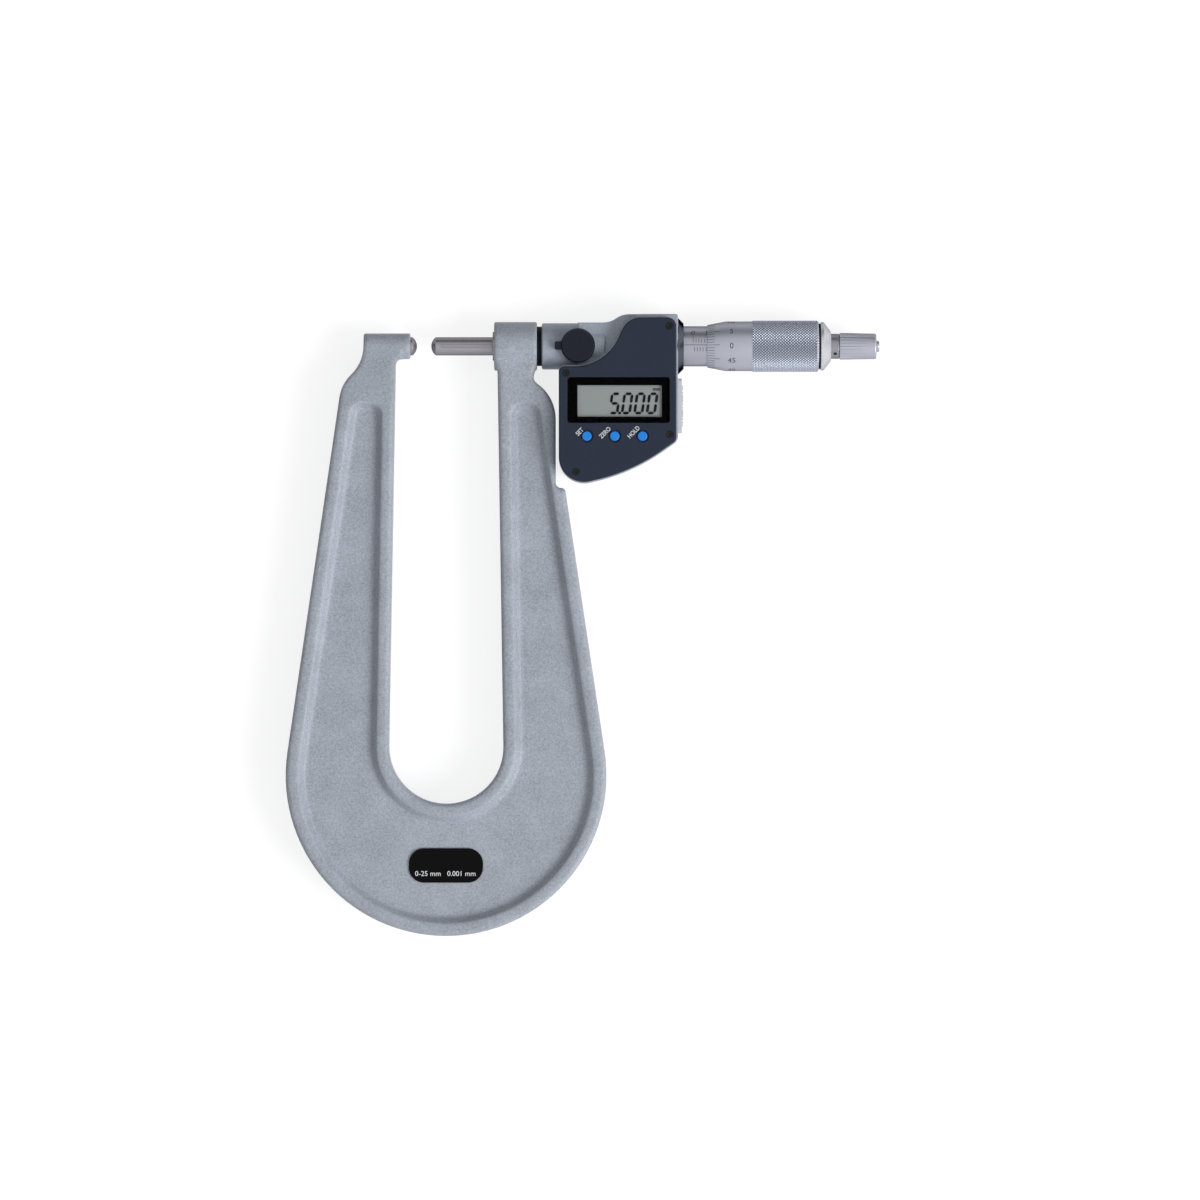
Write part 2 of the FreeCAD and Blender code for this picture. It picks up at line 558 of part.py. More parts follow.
def make_frame():
    """The casting: a deep U with a rim round a sunk web on both faces, and two bosses."""
    body = new_body("frame")
    knee_end_x = f"(-knee_back + knee_radius * (cos({LEFT_LEAN}) - cos(knee_slope)))"
    knee_end_y = f"(-knee_drop + knee_radius * (sin(knee_slope) - sin({LEFT_LEAN})))"
    neck_radius = f"((-anvil_boss_back - {knee_end_x}) / (1 - cos(knee_slope)))"
    shoulder_x = "(shoulder_side - shoulder_radius)"
    notch_x = f"({shoulder_x} + (shoulder_radius + notch_radius) * cos(notch_angle))"
    notch_y = "(-shoulder_drop + (shoulder_radius + notch_radius) * sin(notch_angle))"
    notch_end_x = f"({notch_x} + notch_radius * cos(notch_end))"
    notch_end_y = f"({notch_y} + notch_radius * sin(notch_end))"
    notch_top = f"({notch_end_y} + ({SPINDLE_BOSS_BACK} - {notch_end_x}) * tan(notch_end - 90))"
    foot_y = "(-boss_foot_drop - boss_foot_high)"
    anvil_low = "(-anvil_boss_dia / 2)"
    anvil_foot = f"({throat_side(-1, '0', anvil_low)} + anvil_boss_corner + boss_foot_flat)"
    outline = [
        ("-anvil_boss_back", "0"),
        ("-anvil_boss_back", f"{knee_end_y} + {neck_radius} * sin(knee_slope)"),
        bow(neck_radius, -1),
        (knee_end_x, knee_end_y),
        bow("knee_radius", 1),
        ("-knee_back", "-knee_drop"),
        touch(-1, BOW_Y, "bow_radius", LEFT_LEAN),
        bow("bow_radius", 1, wide=True),
        touch(1, BOW_Y, "bow_radius", RIGHT_LEAN),
        ("step_side", "-step_drop", "step_corner"),
        ("shoulder_side", "-step_drop", "step_hollow"),
        ("shoulder_side", "-shoulder_drop"),
        bow("shoulder_radius", 1),
        (f"{shoulder_x} + shoulder_radius * cos(notch_angle)",
         "-shoulder_drop + shoulder_radius * sin(notch_angle)"),
        bow("notch_radius", -1),
        (notch_end_x, notch_end_y),
        (SPINDLE_BOSS_BACK, notch_top, "boss_blend"),
        (SPINDLE_BOSS_BACK, "0"),
        ("spindle_boss_front", "0"),
        ("spindle_boss_front", "-boss_foot_drop", "boss_blend"),
        (throat_side(1, "0", foot_y), foot_y, "boss_blend"),
        touch(1, THROAT_Y, "throat_radius", "throat_right_draft"),
        bow("throat_radius", -1, wide=True),
        touch(-1, THROAT_Y, "throat_radius", "throat_left_draft"),
        (throat_side(-1, "0", anvil_low), anvil_low, "anvil_boss_corner"),
        (anvil_foot, anvil_low),
        (anvil_foot, "0"),
    ]
    pad(body, draw(new_sketch(body, "XY_Plane"), outline), "frame_thick", both_ways=True)

    def on_face(edge):
        """Edges of the two faces, up to the bosses."""
        box = edge.BoundBox
        return box.ZLength < 0.01 and box.YMin < -0.01

    fillet(body, "frame_round", on_face)

    taper = new_sketch(body, "YZ_Plane", "throat_middle")
    for side in ("", "-"):
        draw(taper, [
            ("-anvil_arm_taper", f"{side}frame_thick / 2"),
            ("-anvil_boss_dia / 2", f"{side}anvil_arm_thick / 2"),
            ("anvil_boss_dia", f"{side}anvil_arm_thick / 2"),
            ("anvil_boss_dia", f"{side}frame_thick"),
            ("-anvil_arm_taper", f"{side}frame_thick"),
        ])
    pocket(body, taper, "throat_middle + 2 * anvil_boss_back")

    top = "(-recess_top)"
    outer = "outer_rim"
    inner = "inner_rim"
    recess = draw(new_sketch(body, "XY_Plane", "frame_thick / 2"), [
        (flank_side(-1, outer, top), top, "recess_end"),
        touch(-1, BOW_Y, "(bow_radius - outer_rim)", LEFT_LEAN),
        bow("bow_radius - outer_rim", 1, wide=True),
        touch(1, BOW_Y, "(bow_radius - outer_rim)", RIGHT_LEAN),
        (flank_side(1, outer, top), top, "recess_end"),
        (throat_side(1, inner, top), top, "recess_end"),
        touch(1, THROAT_Y, "(throat_radius + inner_rim)", "throat_right_draft"),
        bow("throat_radius + inner_rim", -1, wide=True),
        touch(-1, THROAT_Y, "(throat_radius + inner_rim)", "throat_left_draft"),
        (throat_side(-1, inner, top), top, "recess_end"),
    ])
    sunk = pocket(body, recess, "recess_deep")
    bind(sunk, "TaperAngle", "-recess_lean")
    mirror(body, sunk)

    turn(body, [
        ("-anvil_boss_back", "0"),
        ("-anvil_boss_front", "0"),
        ("-anvil_boss_front", "anvil_boss_dia / 2", "boss_edge"),
        ("-anvil_boss_back", "anvil_boss_dia / 2", "boss_edge"),
    ])
    turn(body, [
        ("spindle_boss_front", "0"),
        (SPINDLE_BOSS_BACK, "0"),
        (SPINDLE_BOSS_BACK, "spindle_boss_dia / 2", "boss_edge"),
        ("spindle_boss_front", "spindle_boss_dia / 2", "boss_edge"),
    ])
    turn(body, [
        ("-anvil_boss_front - anvil_seat", "0"),
        ("0", "0"),
        ("0", "anvil_dia / 2"),
        ("-anvil_boss_front - anvil_seat", "anvil_dia / 2"),
    ], cut=True)
    turn(body, [
        ("spindle_boss_front - overcut", "0"),
        (f"{SPINDLE_BOSS_BACK} + overcut", "0"),
        (f"{SPINDLE_BOSS_BACK} + overcut", "guide_dia / 2"),
        ("spindle_boss_front - overcut", "guide_dia / 2"),
    ], cut=True)
    return body


def level_ring(start, end, inner, outer):
    """Outline of a plain ring round the measuring axis."""
    return [(start, inner), (end, inner), (end, outer), (start, outer)]


def rod(start, end, radius):
    """Outline of a plain rod on the measuring axis."""
    return level_ring(start, end, "0", radius)


def rectangle(x, y, wide, high, rounding=None):
    """Corners of a rectangle about its middle."""
    corners = [
        (f"{x} - {wide} / 2", f"{y} - {high} / 2"),
        (f"{x} + {wide} / 2", f"{y} - {high} / 2"),
        (f"{x} + {wide} / 2", f"{y} + {high} / 2"),
        (f"{x} - {wide} / 2", f"{y} + {high} / 2"),
    ]
    return [corner + (rounding,) for corner in corners] if rounding else corners


def polar(body, feature, count, axis="X_Axis"):
    """Repeats a feature all round one of the body's axes."""
    pattern = body.newObject("PartDesign::PolarPattern", f"{body.Label}_pattern")
    pattern.Originals = [feature]
    pattern.Axis = (next(item for item in body.Origin.OriginFeatures if item.Role == axis), [""])
    pattern.Angle = 360
    bind(pattern, "Occurrences", count)
    body.Tip = pattern
    return pattern


def group(label, piece, places):
    """Like pieces that share one node, set out from one of them."""
    doc.recompute()
    copies = []
    for place in places:
        shape = piece.Shape.copy()
        shape.translate(Vector(*(number(side) for side in place)))
        copies.append(shape)
    node = doc.addObject("Part::Feature", label)
    node.Label = label
    node.Shape = Part.makeCompound(copies)
    return node


WEB_FRONT = "(frame_thick / 2 - recess_deep)"
GUIDE_FROM = "(spindle_boss_front - guide_proud)"
HEAD_X = f"({SPINDLE_BOSS_BACK} + seal_long)"
GUIDE_TO = f"({HEAD_X} + guide_reach)"
SPINDLE_BORE = "(spindle_dia / 2 + running_gap)"


def make_anvil():
    """Hardened pin pressed into its boss, with a ball form at the tip."""
    body = new_body("anvil")
    tip_long = "(tip_radius - sqrt(tip_radius ^ 2 - (anvil_dia / 2) ^ 2))"
    turn(body, [
        ("-anvil_boss_front - anvil_seat", "0"),
        ("0", "0"),
        bow("tip_radius", 1),
        (f"-{tip_long}", "anvil_dia / 2"),
        ("-anvil_boss_front - anvil_seat", "anvil_dia / 2"),
    ])
    return body


def make_name_plate():
    """Thin plate with round ends on the web below the throat."""
    body = new_body("name_plate")
    outline = rectangle("plate_x", "(-throat_depth - plate_below)", "plate_wide", "plate_high", "plate_round")
    pad(body, draw(new_sketch(body, "XY_Plane", WEB_FRONT), outline), "plate_thick")
    return body


def make_spindle_guide():
    """Hard bush through the boss into the head, with a groove for the wiper."""
    body = new_body("spindle_guide")
    wiper_from = f"({GUIDE_FROM} + wiper_lip)"
    turn(body, [
        (GUIDE_FROM, SPINDLE_BORE),
        (wiper_from, SPINDLE_BORE),
        (wiper_from, "wiper_dia / 2"),
        (f"{wiper_from} + wiper_long", "wiper_dia / 2"),
        (f"{wiper_from} + wiper_long", SPINDLE_BORE),
        (GUIDE_TO, SPINDLE_BORE),
        (GUIDE_TO, "guide_dia / 2"),
        (f"{GUIDE_FROM} + guide_bevel", "guide_dia / 2"),
        (GUIDE_FROM, "guide_dia / 2 - guide_bevel"),
    ])
    return body


def make_spindle_wiper():
    """Rubber ring in the guide's groove, just clear of the spindle."""
    body = new_body("spindle_wiper")
    wiper_from = f"({GUIDE_FROM} + wiper_lip)"
    turn(body, level_ring(wiper_from, f"{wiper_from} + wiper_long", SPINDLE_BORE, "wiper_dia / 2"))
    return body


def make_head_seal():
    """Black ring on the guide, between the boss and the head."""
    body = new_body("head_seal")
    turn(body, level_ring(SPINDLE_BOSS_BACK, HEAD_X, "guide_dia / 2", "seal_dia / 2"))
    return body


def head_outline(shelf="0", left="0", top="0", right="0", low="0", corner="cover_corner"):
    """The front cover's outline, each side moved outward by a margin (inward if negative)."""
    slope = f"(swoop_foot - {shelf} / sin(swoop_lean))"
    shelf_y = f"({shelf} - shelf_drop)"
    top_y = f"(cover_top + {top})"
    slope_low = f"({slope} + {shelf} / tan(swoop_lean))"
    slope_high = f"({slope} + ({top_y} + shelf_drop) / tan(swoop_lean))"
    left_x = f"(cover_left - {left})"
    right_x = f"(cover_right + {right})"
    left_lean = "atan((left_low - belly_drop) / (belly_x - cover_left))"
    right_lean = "atan((belly_drop - right_low) / (cover_right - belly_x))"
    middle = f"(({left_lean} + {right_lean}) / 2)"
    bend = f"({low} / cos(({right_lean} - {left_lean}) / 2))"
    left_end = f"(-left_low - {left} * tan({left_lean}) - {low} / cos({left_lean}))"
    right_end = f"(-right_low + {right} * tan({right_lean}) - {low} / cos({right_lean}))"
    belly = (f"belly_x + {bend} * sin({middle})", f"-belly_drop - {bend} * cos({middle})")
    return [
        (left_x, shelf_y, f"max(least_round; shelf_corner + {left})"),
        (left_x, left_end, f"left_round + {left}"),
        (*belly, f"belly_round + {low}"),
        (right_x, right_end, f"max(least_round; right_round + {right})"),
        (right_x, top_y, f"max(least_round; {corner} + {right})"),
        (slope_high, top_y, f"swoop_crown + {shelf}"),
        (slope_low, shelf_y, f"swoop_hollow - {shelf}"),
    ]


def inset_outline(inset):
    """The cover's outline moved inward all round."""
    margin = f"(0 - {inset})"
    return head_outline(margin, margin, margin, margin, margin)


SCREW_PLACES = [
    ("screw_top_x", "screw_top_y"),
    ("screw_left_x", "screw_left_y"),
    ("screw_right_x", "screw_right_y"),
    ("screw_low_x", "screw_low_y"),
]
RIM = "head_front"
COVER_FRONT = "(head_front + cover_thick)"
COVER_INSIDE = "(head_front + cover_thick - cover_wall)"
LCD_BACK = "(head_front + cover_thick - cover_wall - lcd_thick)"
BOARD_FRONT = "(head_front - board_drop)"
BOARD_BACK = "(head_front - board_drop - board_thick)"
FLOOR = "(head_floor - head_back)"
BARREL_OUT = "(cover_right + border_right)"
CLAMP_FLOOR = "(spindle_dia / 2 + shoe_gap)"
BUTTON_XS = ["button_first_x", "(button_first_x + button_pitch)", "(button_first_x + 2 * button_pitch)"]
CELL_Y = "(-cell_drop)"
PORT_Y = "(-port_drop)"
LEG_PLACES = [("leg_left_x", "-leg_drop"), ("leg_right_x", "-leg_drop"), ("leg_low_x", "-leg_low_drop")]


def make_head_casting():
    """The head's housing: a box behind the cover, and the tube that runs to the frame's boss."""
    body = new_body("head_casting")
    box = head_outline("border_shelf", "border_left", "border_top", "border_right", "border_low",
                       "head_corner - border_right")
    pad(body, draw(new_sketch(body, "XY_Plane", "-head_back"), box), "head_back + head_front")
    back = number("-head_back")
    fillet(body, "head_round", lambda edge: abs(edge.BoundBox.ZMax - back) < 0.01)

    rise_end = "(shoulder_from + shoulder_long)"
    shoulder_top = "(cover_top + border_top)"
    shoulder = [
        ("knob_x", "-shelf_drop"),
        ("swoop_foot + tube_dia / 2", "-shelf_drop"),
        ("swoop_foot + tube_dia", shoulder_top),
        (rise_end, shoulder_top, "shoulder_bend"),
        ("shoulder_from", "tube_dia / 2", "shoulder_bend"),
        ("knob_x", "tube_dia / 2"),
    ]
    pad(body, draw(new_sketch(body, "XY_Plane"), shoulder), "shoulder_thick", both_ways=True)

    turn(body, [
        (HEAD_X, "0"),
        (f"{HEAD_X} + tube_long", "0"),
        (f"{HEAD_X} + tube_long", "tube_dia / 2"),
        (HEAD_X, "tube_dia / 2", "boss_edge"),
    ])
    seat = draw_circle(new_sketch(body, "XY_Plane"), "knob_x", "0", "knob_dia / 2")
    pad(body, seat, "knob_lift - knob_gap")

    cavity = draw(new_sketch(body, "XY_Plane", RIM), inset_outline("head_wall"))
    pocket(body, cavity, "head_front + head_back - head_floor")

    turn(body, rod("swoop_foot", "stator_from", "boss_inner_dia / 2"))
    posts = new_sketch(body, "XY_Plane", RIM)
    for x, y in SCREW_PLACES:
        draw_circle(posts, x, y, "post_dia / 2")
    pad(body, posts, "post_long", reverse=True)
    legs = new_sketch(body, "XY_Plane", FLOOR)
    for x, y in LEG_PLACES:
        draw_circle(legs, x, y, "leg_dia / 2")
    pad(body, legs, f"{BOARD_BACK} - {FLOOR}")

    turn(body, rod(f"{HEAD_X} - overcut", "stator_from + overcut", "spindle_room / 2"), cut=True)
    turn(body, rod(f"{HEAD_X} - overcut", f"{GUIDE_TO} + slip_gap", "guide_dia / 2"), cut=True)
    turn(body, rod("barrel_from", f"{BARREL_OUT} + overcut", "barrel_dia / 2"), cut=True)

    clamp = new_sketch(body, "XY_Plane", "knob_lift")
    draw_circle(clamp, "knob_x", "0", "clamp_dia / 2 + running_gap")
    pocket(body, clamp, "knob_lift")
    taps = new_sketch(body, "XY_Plane", RIM)
    for x, y in SCREW_PLACES:
        draw_circle(taps, x, y, "screw_dia / 2")
    pocket(body, taps, "post_long - tap_floor")

    seat = draw_circle(new_sketch(body, "XY_Plane", "-head_back"), "cell_x", CELL_Y, "cap_dia / 2 + slip_gap")
    pocket(body, seat, "cap_sink", reverse=True)
    hole = draw_circle(new_sketch(body, "XY_Plane", "-head_back"), "cell_x", CELL_Y,
                       "cap_neck_dia / 2 + slip_gap")
    pocket(body, hole, "head_floor", reverse=True)
    port = new_sketch(body, "YZ_Plane", BARREL_OUT)
    draw(port, rectangle(PORT_Y, "0", "(port_long + 2 * snug_gap)", "(port_high + 2 * snug_gap)"))
    pocket(body, port, "head_wall + border_right")
    return body


def make_cover_gasket():
    """Soft ring in the cover's groove, on the housing's rim."""
    body = new_body("cover_gasket")
    ring = new_sketch(body, "XY_Plane", RIM)
    draw(ring, inset_outline("gasket_in"))
    draw(ring, inset_outline("(gasket_in + gasket_wide)"))
    pad(body, ring, "gasket_thick")
    return body


def make_front_cover():
    """Moulded cover: rim and face, with the window's seat and the holes for buttons and screws."""
    body = new_body("front_cover")
    pad(body, draw(new_sketch(body, "XY_Plane", RIM), head_outline()), "cover_thick")
    front = number(COVER_FRONT)
    fillet(body, "cover_edge", lambda edge: abs(edge.BoundBox.ZMin - front) < 0.01)

    hollow = draw(new_sketch(body, "XY_Plane", RIM), inset_outline("cover_rim"))
    pocket(body, hollow, "cover_thick - cover_wall", reverse=True)
    bosses = new_sketch(body, "XY_Plane", RIM)
    for x, y in SCREW_PLACES:
        draw_circle(bosses, x, y, "screw_head_dia / 2 + slip_gap")
    pad(body, bosses, "cover_thick - screw_sink")
    groove = new_sketch(body, "XY_Plane", RIM)
    draw(groove, inset_outline("gasket_in"))
    draw(groove, inset_outline("(gasket_in + gasket_wide)"))
    pocket(body, groove, "gasket_thick", reverse=True)

    window = new_sketch(body, "XY_Plane", COVER_FRONT)
    draw(window, rectangle("window_x", "(-window_drop)", "(window_wide + 2 * snug_gap)",
                           "(window_high + 2 * snug_gap)", "window_round"))
    pocket(body, window, "window_thick")
    sight = draw(new_sketch(body, "XY_Plane", COVER_FRONT),
                 rectangle("window_x", "(-window_drop)", "sight_wide", "sight_high"))
    pocket(body, sight, "cover_thick")

    heads = new_sketch(body, "XY_Plane", COVER_FRONT)
    shanks = new_sketch(body, "XY_Plane", COVER_FRONT)
    for x, y in SCREW_PLACES:
        draw_circle(heads, x, y, "screw_head_dia / 2 + slip_gap / 2")
        draw_circle(shanks, x, y, "screw_dia / 2 + slip_gap")
    pocket(body, heads, "screw_sink")
    pocket(body, shanks, "cover_thick")
    wells = new_sketch(body, "XY_Plane", COVER_FRONT)
    holes = new_sketch(body, "XY_Plane", COVER_FRONT)
    for x in BUTTON_XS:
        draw_circle(wells, x, "-button_drop", "button_well_dia / 2")
        draw_circle(holes, x, "-button_drop", "button_dia / 2 + slip_gap")
    pocket(body, wells, "button_well_deep")
    pocket(body, holes, "cover_thick")
    return body


def make_cover_screws():
    """Four socket screws that hold the cover."""
    body = new_body("cover_screw")
    under = "(head_front + cover_thick - screw_sink)"
    turn(body, [
        ("0", f"{under} - screw_long"),
        ("screw_dia / 2", f"{under} - screw_long"),
        ("screw_dia / 2", under),
        ("screw_head_dia / 2", under),
        ("screw_head_dia / 2", f"{under} + screw_head_high"),
        ("socket_dia / 2", f"{under} + screw_head_high"),
        ("socket_dia / 2", f"{under} + screw_head_high - socket_deep"),
        ("0", f"{under} + screw_head_high - socket_deep"),
    ], plane="XZ_Plane", axis="V_Axis")
    return group("cover_screws", body, [(x, y, "0") for x, y in SCREW_PLACES])


def make_display_window():
    """Clear pane in the cover's seat."""
    body = new_body("display_window")
    pane = rectangle("window_x", "(-window_drop)", "window_wide", "window_high",
                     "(window_round - snug_gap)")
    pad(body, draw(new_sketch(body, "XY_Plane", f"{COVER_FRONT} - window_thick"), pane), "window_thick")
    return body


def make_lcd_panel():
    """Display glass under the cover's opening."""
    body = new_body("lcd_panel")
    glass = rectangle("window_x", "(-window_drop)", "lcd_wide", "lcd_high")
    pad(body, draw(new_sketch(body, "XY_Plane", LCD_BACK), glass), "lcd_thick")
    return body


def make_lcd_holder():
    """Moulded frame that carries the display on the board, with slots for the strips."""
    body = new_body("lcd_holder")
    height = f"{LCD_BACK} - {BOARD_FRONT}"
    frame = rectangle("window_x", "(-window_drop)", "(lcd_wide + slip_gap)", "(lcd_high + 3 * slip_gap)")
    pad(body, draw(new_sketch(body, "XY_Plane", BOARD_FRONT), frame), height)
    openings = new_sketch(body, "XY_Plane", BOARD_FRONT)
    draw(openings, rectangle("window_x", "(-window_drop)", "strip_long", "(strip_apart - 3 * strip_wide)"))
    for side in ("-", "+"):
        middle = f"(-window_drop {side} strip_apart / 2)"
        draw(openings, rectangle("window_x", middle, "strip_long", "strip_wide"))
    pocket(body, openings, height, reverse=True)
    return body


def make_elastomer_strips():
    """Two soft strips that join the display's contacts to the board."""
    body = new_body("elastomer_strip")
    strip = rectangle("window_x", "(-window_drop)", "strip_long", "strip_wide")
    height = f"{LCD_BACK} - {BOARD_FRONT}"
    pad(body, draw(new_sketch(body, "XY_Plane", BOARD_FRONT), strip), height)
    places = [("0", "-strip_apart / 2", "0"), ("0", "strip_apart / 2", "0")]
    return group("elastomer_strips", body, places)


def make_circuit_board():
    """Board across the lower part of the housing, clear of the screw posts."""
    body = new_body("circuit_board")
    left = "(cover_left + head_wall + board_inset)"
    right = "(cover_right - head_wall - board_inset / 3)"
    top = "(-shelf_drop - head_wall - board_inset)"
    low_post_side = "(screw_low_x + post_dia / 2 + slip_gap + board_round)"
    post_side = "(screw_right_x - post_dia / 2 - slip_gap)"
    board = [
        (left, top, "board_round"),
        (left, "screw_low_y + post_dia", "board_round"),
        (low_post_side, "-left_low + head_wall + board_inset + 2 * board_round", "board_round"),
        ("belly_x", "-belly_drop + head_wall + board_inset", "2 * board_round"),
        (post_side, "-right_low + board_inset", "board_round"),
        (post_side, "screw_right_y + post_dia / 2 + slip_gap"),
        (right, "screw_right_y + post_dia / 2 + board_inset"),
        (right, top, "board_round"),
    ]
    pad(body, draw(new_sketch(body, "XY_Plane", BOARD_BACK), board), "board_thick")
    return body


def make_button(label, x):
    """Push button: a domed cap through the cover, with a flange below it."""
    body = new_body(label, (x, "-button_drop", "0"))
    flange_top = f"({COVER_INSIDE} - snug_gap)"
    top = f"({COVER_FRONT} + button_proud)"
    turn(body, [
        ("0", f"{flange_top} - button_flange"),
        ("button_flange_dia / 2", f"{flange_top} - button_flange"),
        ("button_flange_dia / 2", flange_top),
        ("button_dia / 2", flange_top),
        ("button_dia / 2", top, "button_proud"),
        ("0", top),
    ], plane="XZ_Plane", axis="V_Axis")
    return body


def make_button_mat():
    """Rubber key pad with a plunger under each button and a hollow over each dome."""
    body = new_body("button_mat")
    long = "(2 * button_pitch + 2 * mat_end)"
    middle = "(button_first_x + button_pitch)"
    strip = rectangle(middle, "(-button_drop)", long, "mat_wide", "mat_round")
    pad(body, draw(new_sketch(body, "XY_Plane", BOARD_FRONT), strip), "mat_thick")
    keys = new_sketch(body, "XY_Plane", BOARD_FRONT)
    hollows = new_sketch(body, "XY_Plane", BOARD_FRONT)
    for x in BUTTON_XS:
        draw_circle(keys, x, "-button_drop", "mat_key_dia / 2")
        draw_circle(hollows, x, "-button_drop", "dome_dia / 2 + slip_gap / 2")
    button_low = f"({COVER_INSIDE} - snug_gap - button_flange)"
    pad(body, keys, f"{button_low} - button_travel - snug_gap - {BOARD_FRONT}")
    pocket(body, hollows, "dome_high + snug_gap", reverse=True)
    return body


def make_switch_domes():
    """Three sprung metal domes on the board."""
    body = new_body("switch_dome", ("0", "-button_drop", "0"))
    turn(body, [
        ("0", BOARD_FRONT),
        ("dome_dia / 2", BOARD_FRONT),
        bow("(dome_dia ^ 2 / 4 + dome_high ^ 2) / (2 * dome_high)", 1),
        ("0", f"{BOARD_FRONT} + dome_high"),
    ], plane="XZ_Plane", axis="V_Axis")
    return group("switch_domes", body, [(x, "0", "0") for x in BUTTON_XS])


CELL_LOW = "(-head_back + cap_sink - snug_gap + cap_neck_long + slip_gap)"


def make_battery_cell():
    """Button cell with its stepped rim."""
    body = new_body("battery_cell", ("cell_x", "-cell_drop", "0"))
    top = f"({CELL_LOW} + cell_high)"
    turn(body, [
        ("0", CELL_LOW),
        ("cell_dia / 2", CELL_LOW, "edge_break"),
        ("cell_dia / 2", f"{top} - edge_break", "edge_break"),
        ("cell_dia / 2 - cell_step", f"{top} - edge_break"),
        ("cell_dia / 2 - cell_step", top),
        ("0", top),
    ], plane="XZ_Plane", axis="V_Axis")
    return body


def make_battery_holder():
    """Moulded cup between the housing's floor and the board, with a slot for the side contact."""
    body = new_body("battery_holder", ("cell_x", "-cell_drop", "0"))
    roof = f"({BOARD_BACK} - holder_roof)"
    turn(body, [
        ("cell_room / 2", FLOOR),
        ("holder_dia / 2", FLOOR),
        ("holder_dia / 2", BOARD_BACK),
        ("0", BOARD_BACK),
        ("0", roof),
        ("cell_room / 2", roof),
    ], plane="XZ_Plane", axis="V_Axis")
    slot_deep = "(2 * leaf_thick + 2 * slip_gap)"
    slot = rectangle("(-cell_room / 2)", "0", slot_deep, "(side_leaf_wide + slip_gap)")
    pocket(body, draw(new_sketch(body, "XY_Plane", FLOOR), slot), f"{roof} - {FLOOR}", reverse=True)
    return body


def make_battery_contact_side():
    """Upright leaf beside the cell."""
    body = new_body("battery_contact_side", ("cell_x", "-cell_drop", "0"))
    middle = "(-cell_dia / 2 - leaf_thick / 2 - snug_gap)"
    leaf = rectangle(middle, "0", "leaf_thick", "side_leaf_wide")
    length = f"{BOARD_BACK} - holder_roof - {FLOOR}"
    pad(body, draw(new_sketch(body, "XY_Plane", FLOOR), leaf), length)
    return body


def make_battery_contact_top():
    """Bent leaf between the holder's roof and the cell."""
    body = new_body("battery_contact_top", ("cell_x", "-cell_drop", "0"))
    roof = f"({BOARD_BACK} - holder_roof)"
    low = f"({CELL_LOW} + cell_high)"
    under_roof = f"({roof} - leaf_thick)"
    leaf = [
        ("-top_leaf_long / 2", roof),
        ("-top_leaf_long / 2", under_roof),
        ("top_leaf_long / 2 - 2 * leaf_thick", under_roof),
        ("-leaf_thick", f"{low} + leaf_thick"),
        ("-leaf_touch", f"{low} + leaf_thick"),
        ("-leaf_touch", low),
        ("0", low),
        ("top_leaf_long / 2", under_roof),
        ("top_leaf_long / 2", roof),
    ]
    pad(body, draw(new_sketch(body, "XZ_Plane"), leaf), "top_leaf_wide", both_ways=True)
    return body


CAP_FLANGE_TOP = "(-head_back + cap_thick)"


def make_battery_cap():
    """Round cap in the back with a slot for a coin and a groove for its seal."""
    body = new_body("battery_cap", ("cell_x", "-cell_drop", "0"))
    turn(body, [
        ("0", "-head_back"),
        ("cap_dia / 2", "-head_back", "edge_break"),
        ("cap_dia / 2", CAP_FLANGE_TOP),
        ("ring_in_dia / 2 + ring_wide", CAP_FLANGE_TOP),
        ("ring_in_dia / 2 + ring_wide", f"{CAP_FLANGE_TOP} - ring_thick"),
        ("ring_in_dia / 2", f"{CAP_FLANGE_TOP} - ring_thick"),
        ("ring_in_dia / 2", CAP_FLANGE_TOP),
        ("cap_neck_dia / 2", CAP_FLANGE_TOP),
        ("cap_neck_dia / 2", f"{CAP_FLANGE_TOP} + cap_neck_long"),
        ("0", f"{CAP_FLANGE_TOP} + cap_neck_long"),
    ], plane="XZ_Plane", axis="V_Axis")
    slot = rectangle("0", "0", "coin_slot_long", "coin_slot_wide")
    pocket(body, draw(new_sketch(body, "XY_Plane", "-head_back"), slot), "coin_slot_deep", reverse=True)
    return body


def make_battery_cap_seal():
    """Soft ring in the cap's groove."""
    body = new_body("battery_cap_seal", ("cell_x", "-cell_drop", "0"))
    turn(body, [
        ("ring_in_dia / 2", f"{CAP_FLANGE_TOP} - ring_thick"),
        ("ring_in_dia / 2 + ring_wide", f"{CAP_FLANGE_TOP} - ring_thick"),
        ("ring_in_dia / 2 + ring_wide", f"{CAP_FLANGE_TOP} + ring_squeeze"),
        ("ring_in_dia / 2", f"{CAP_FLANGE_TOP} + ring_squeeze"),
    ], plane="XZ_Plane", axis="V_Axis")
    return body


def make_output_cap():
    """Cap over the data socket, with grip ribs along its outer face."""
    body = new_body("output_cap")
    plate = rectangle(PORT_Y, "0", "port_cap_long", "port_cap_high", "port_cap_round")
    pad(body, draw(new_sketch(body, "YZ_Plane", BARREL_OUT), plate), "port_cap_thick")
    lip = rectangle(PORT_Y, "0", "(port_long - snug_gap)", "(port_high - snug_gap)")
    pad(body, draw(new_sketch(body, "YZ_Plane", BARREL_OUT), lip), "port_lip", reverse=True)
    count = int(number("(port_cap_long - 2 * port_cap_border) / port_rib_pitch"))
    ribs = new_sketch(body, "YZ_Plane", f"{BARREL_OUT} + port_cap_thick")
    for place in range(count):
        y = f"(-port_drop + {place - (count - 1) / 2} * port_rib_pitch)"
        draw(ribs, rectangle(y, "0", "(port_rib_pitch / 2)", "(port_cap_high - port_cap_border)"))
    pad(body, ribs, "port_rib_high")
    return body


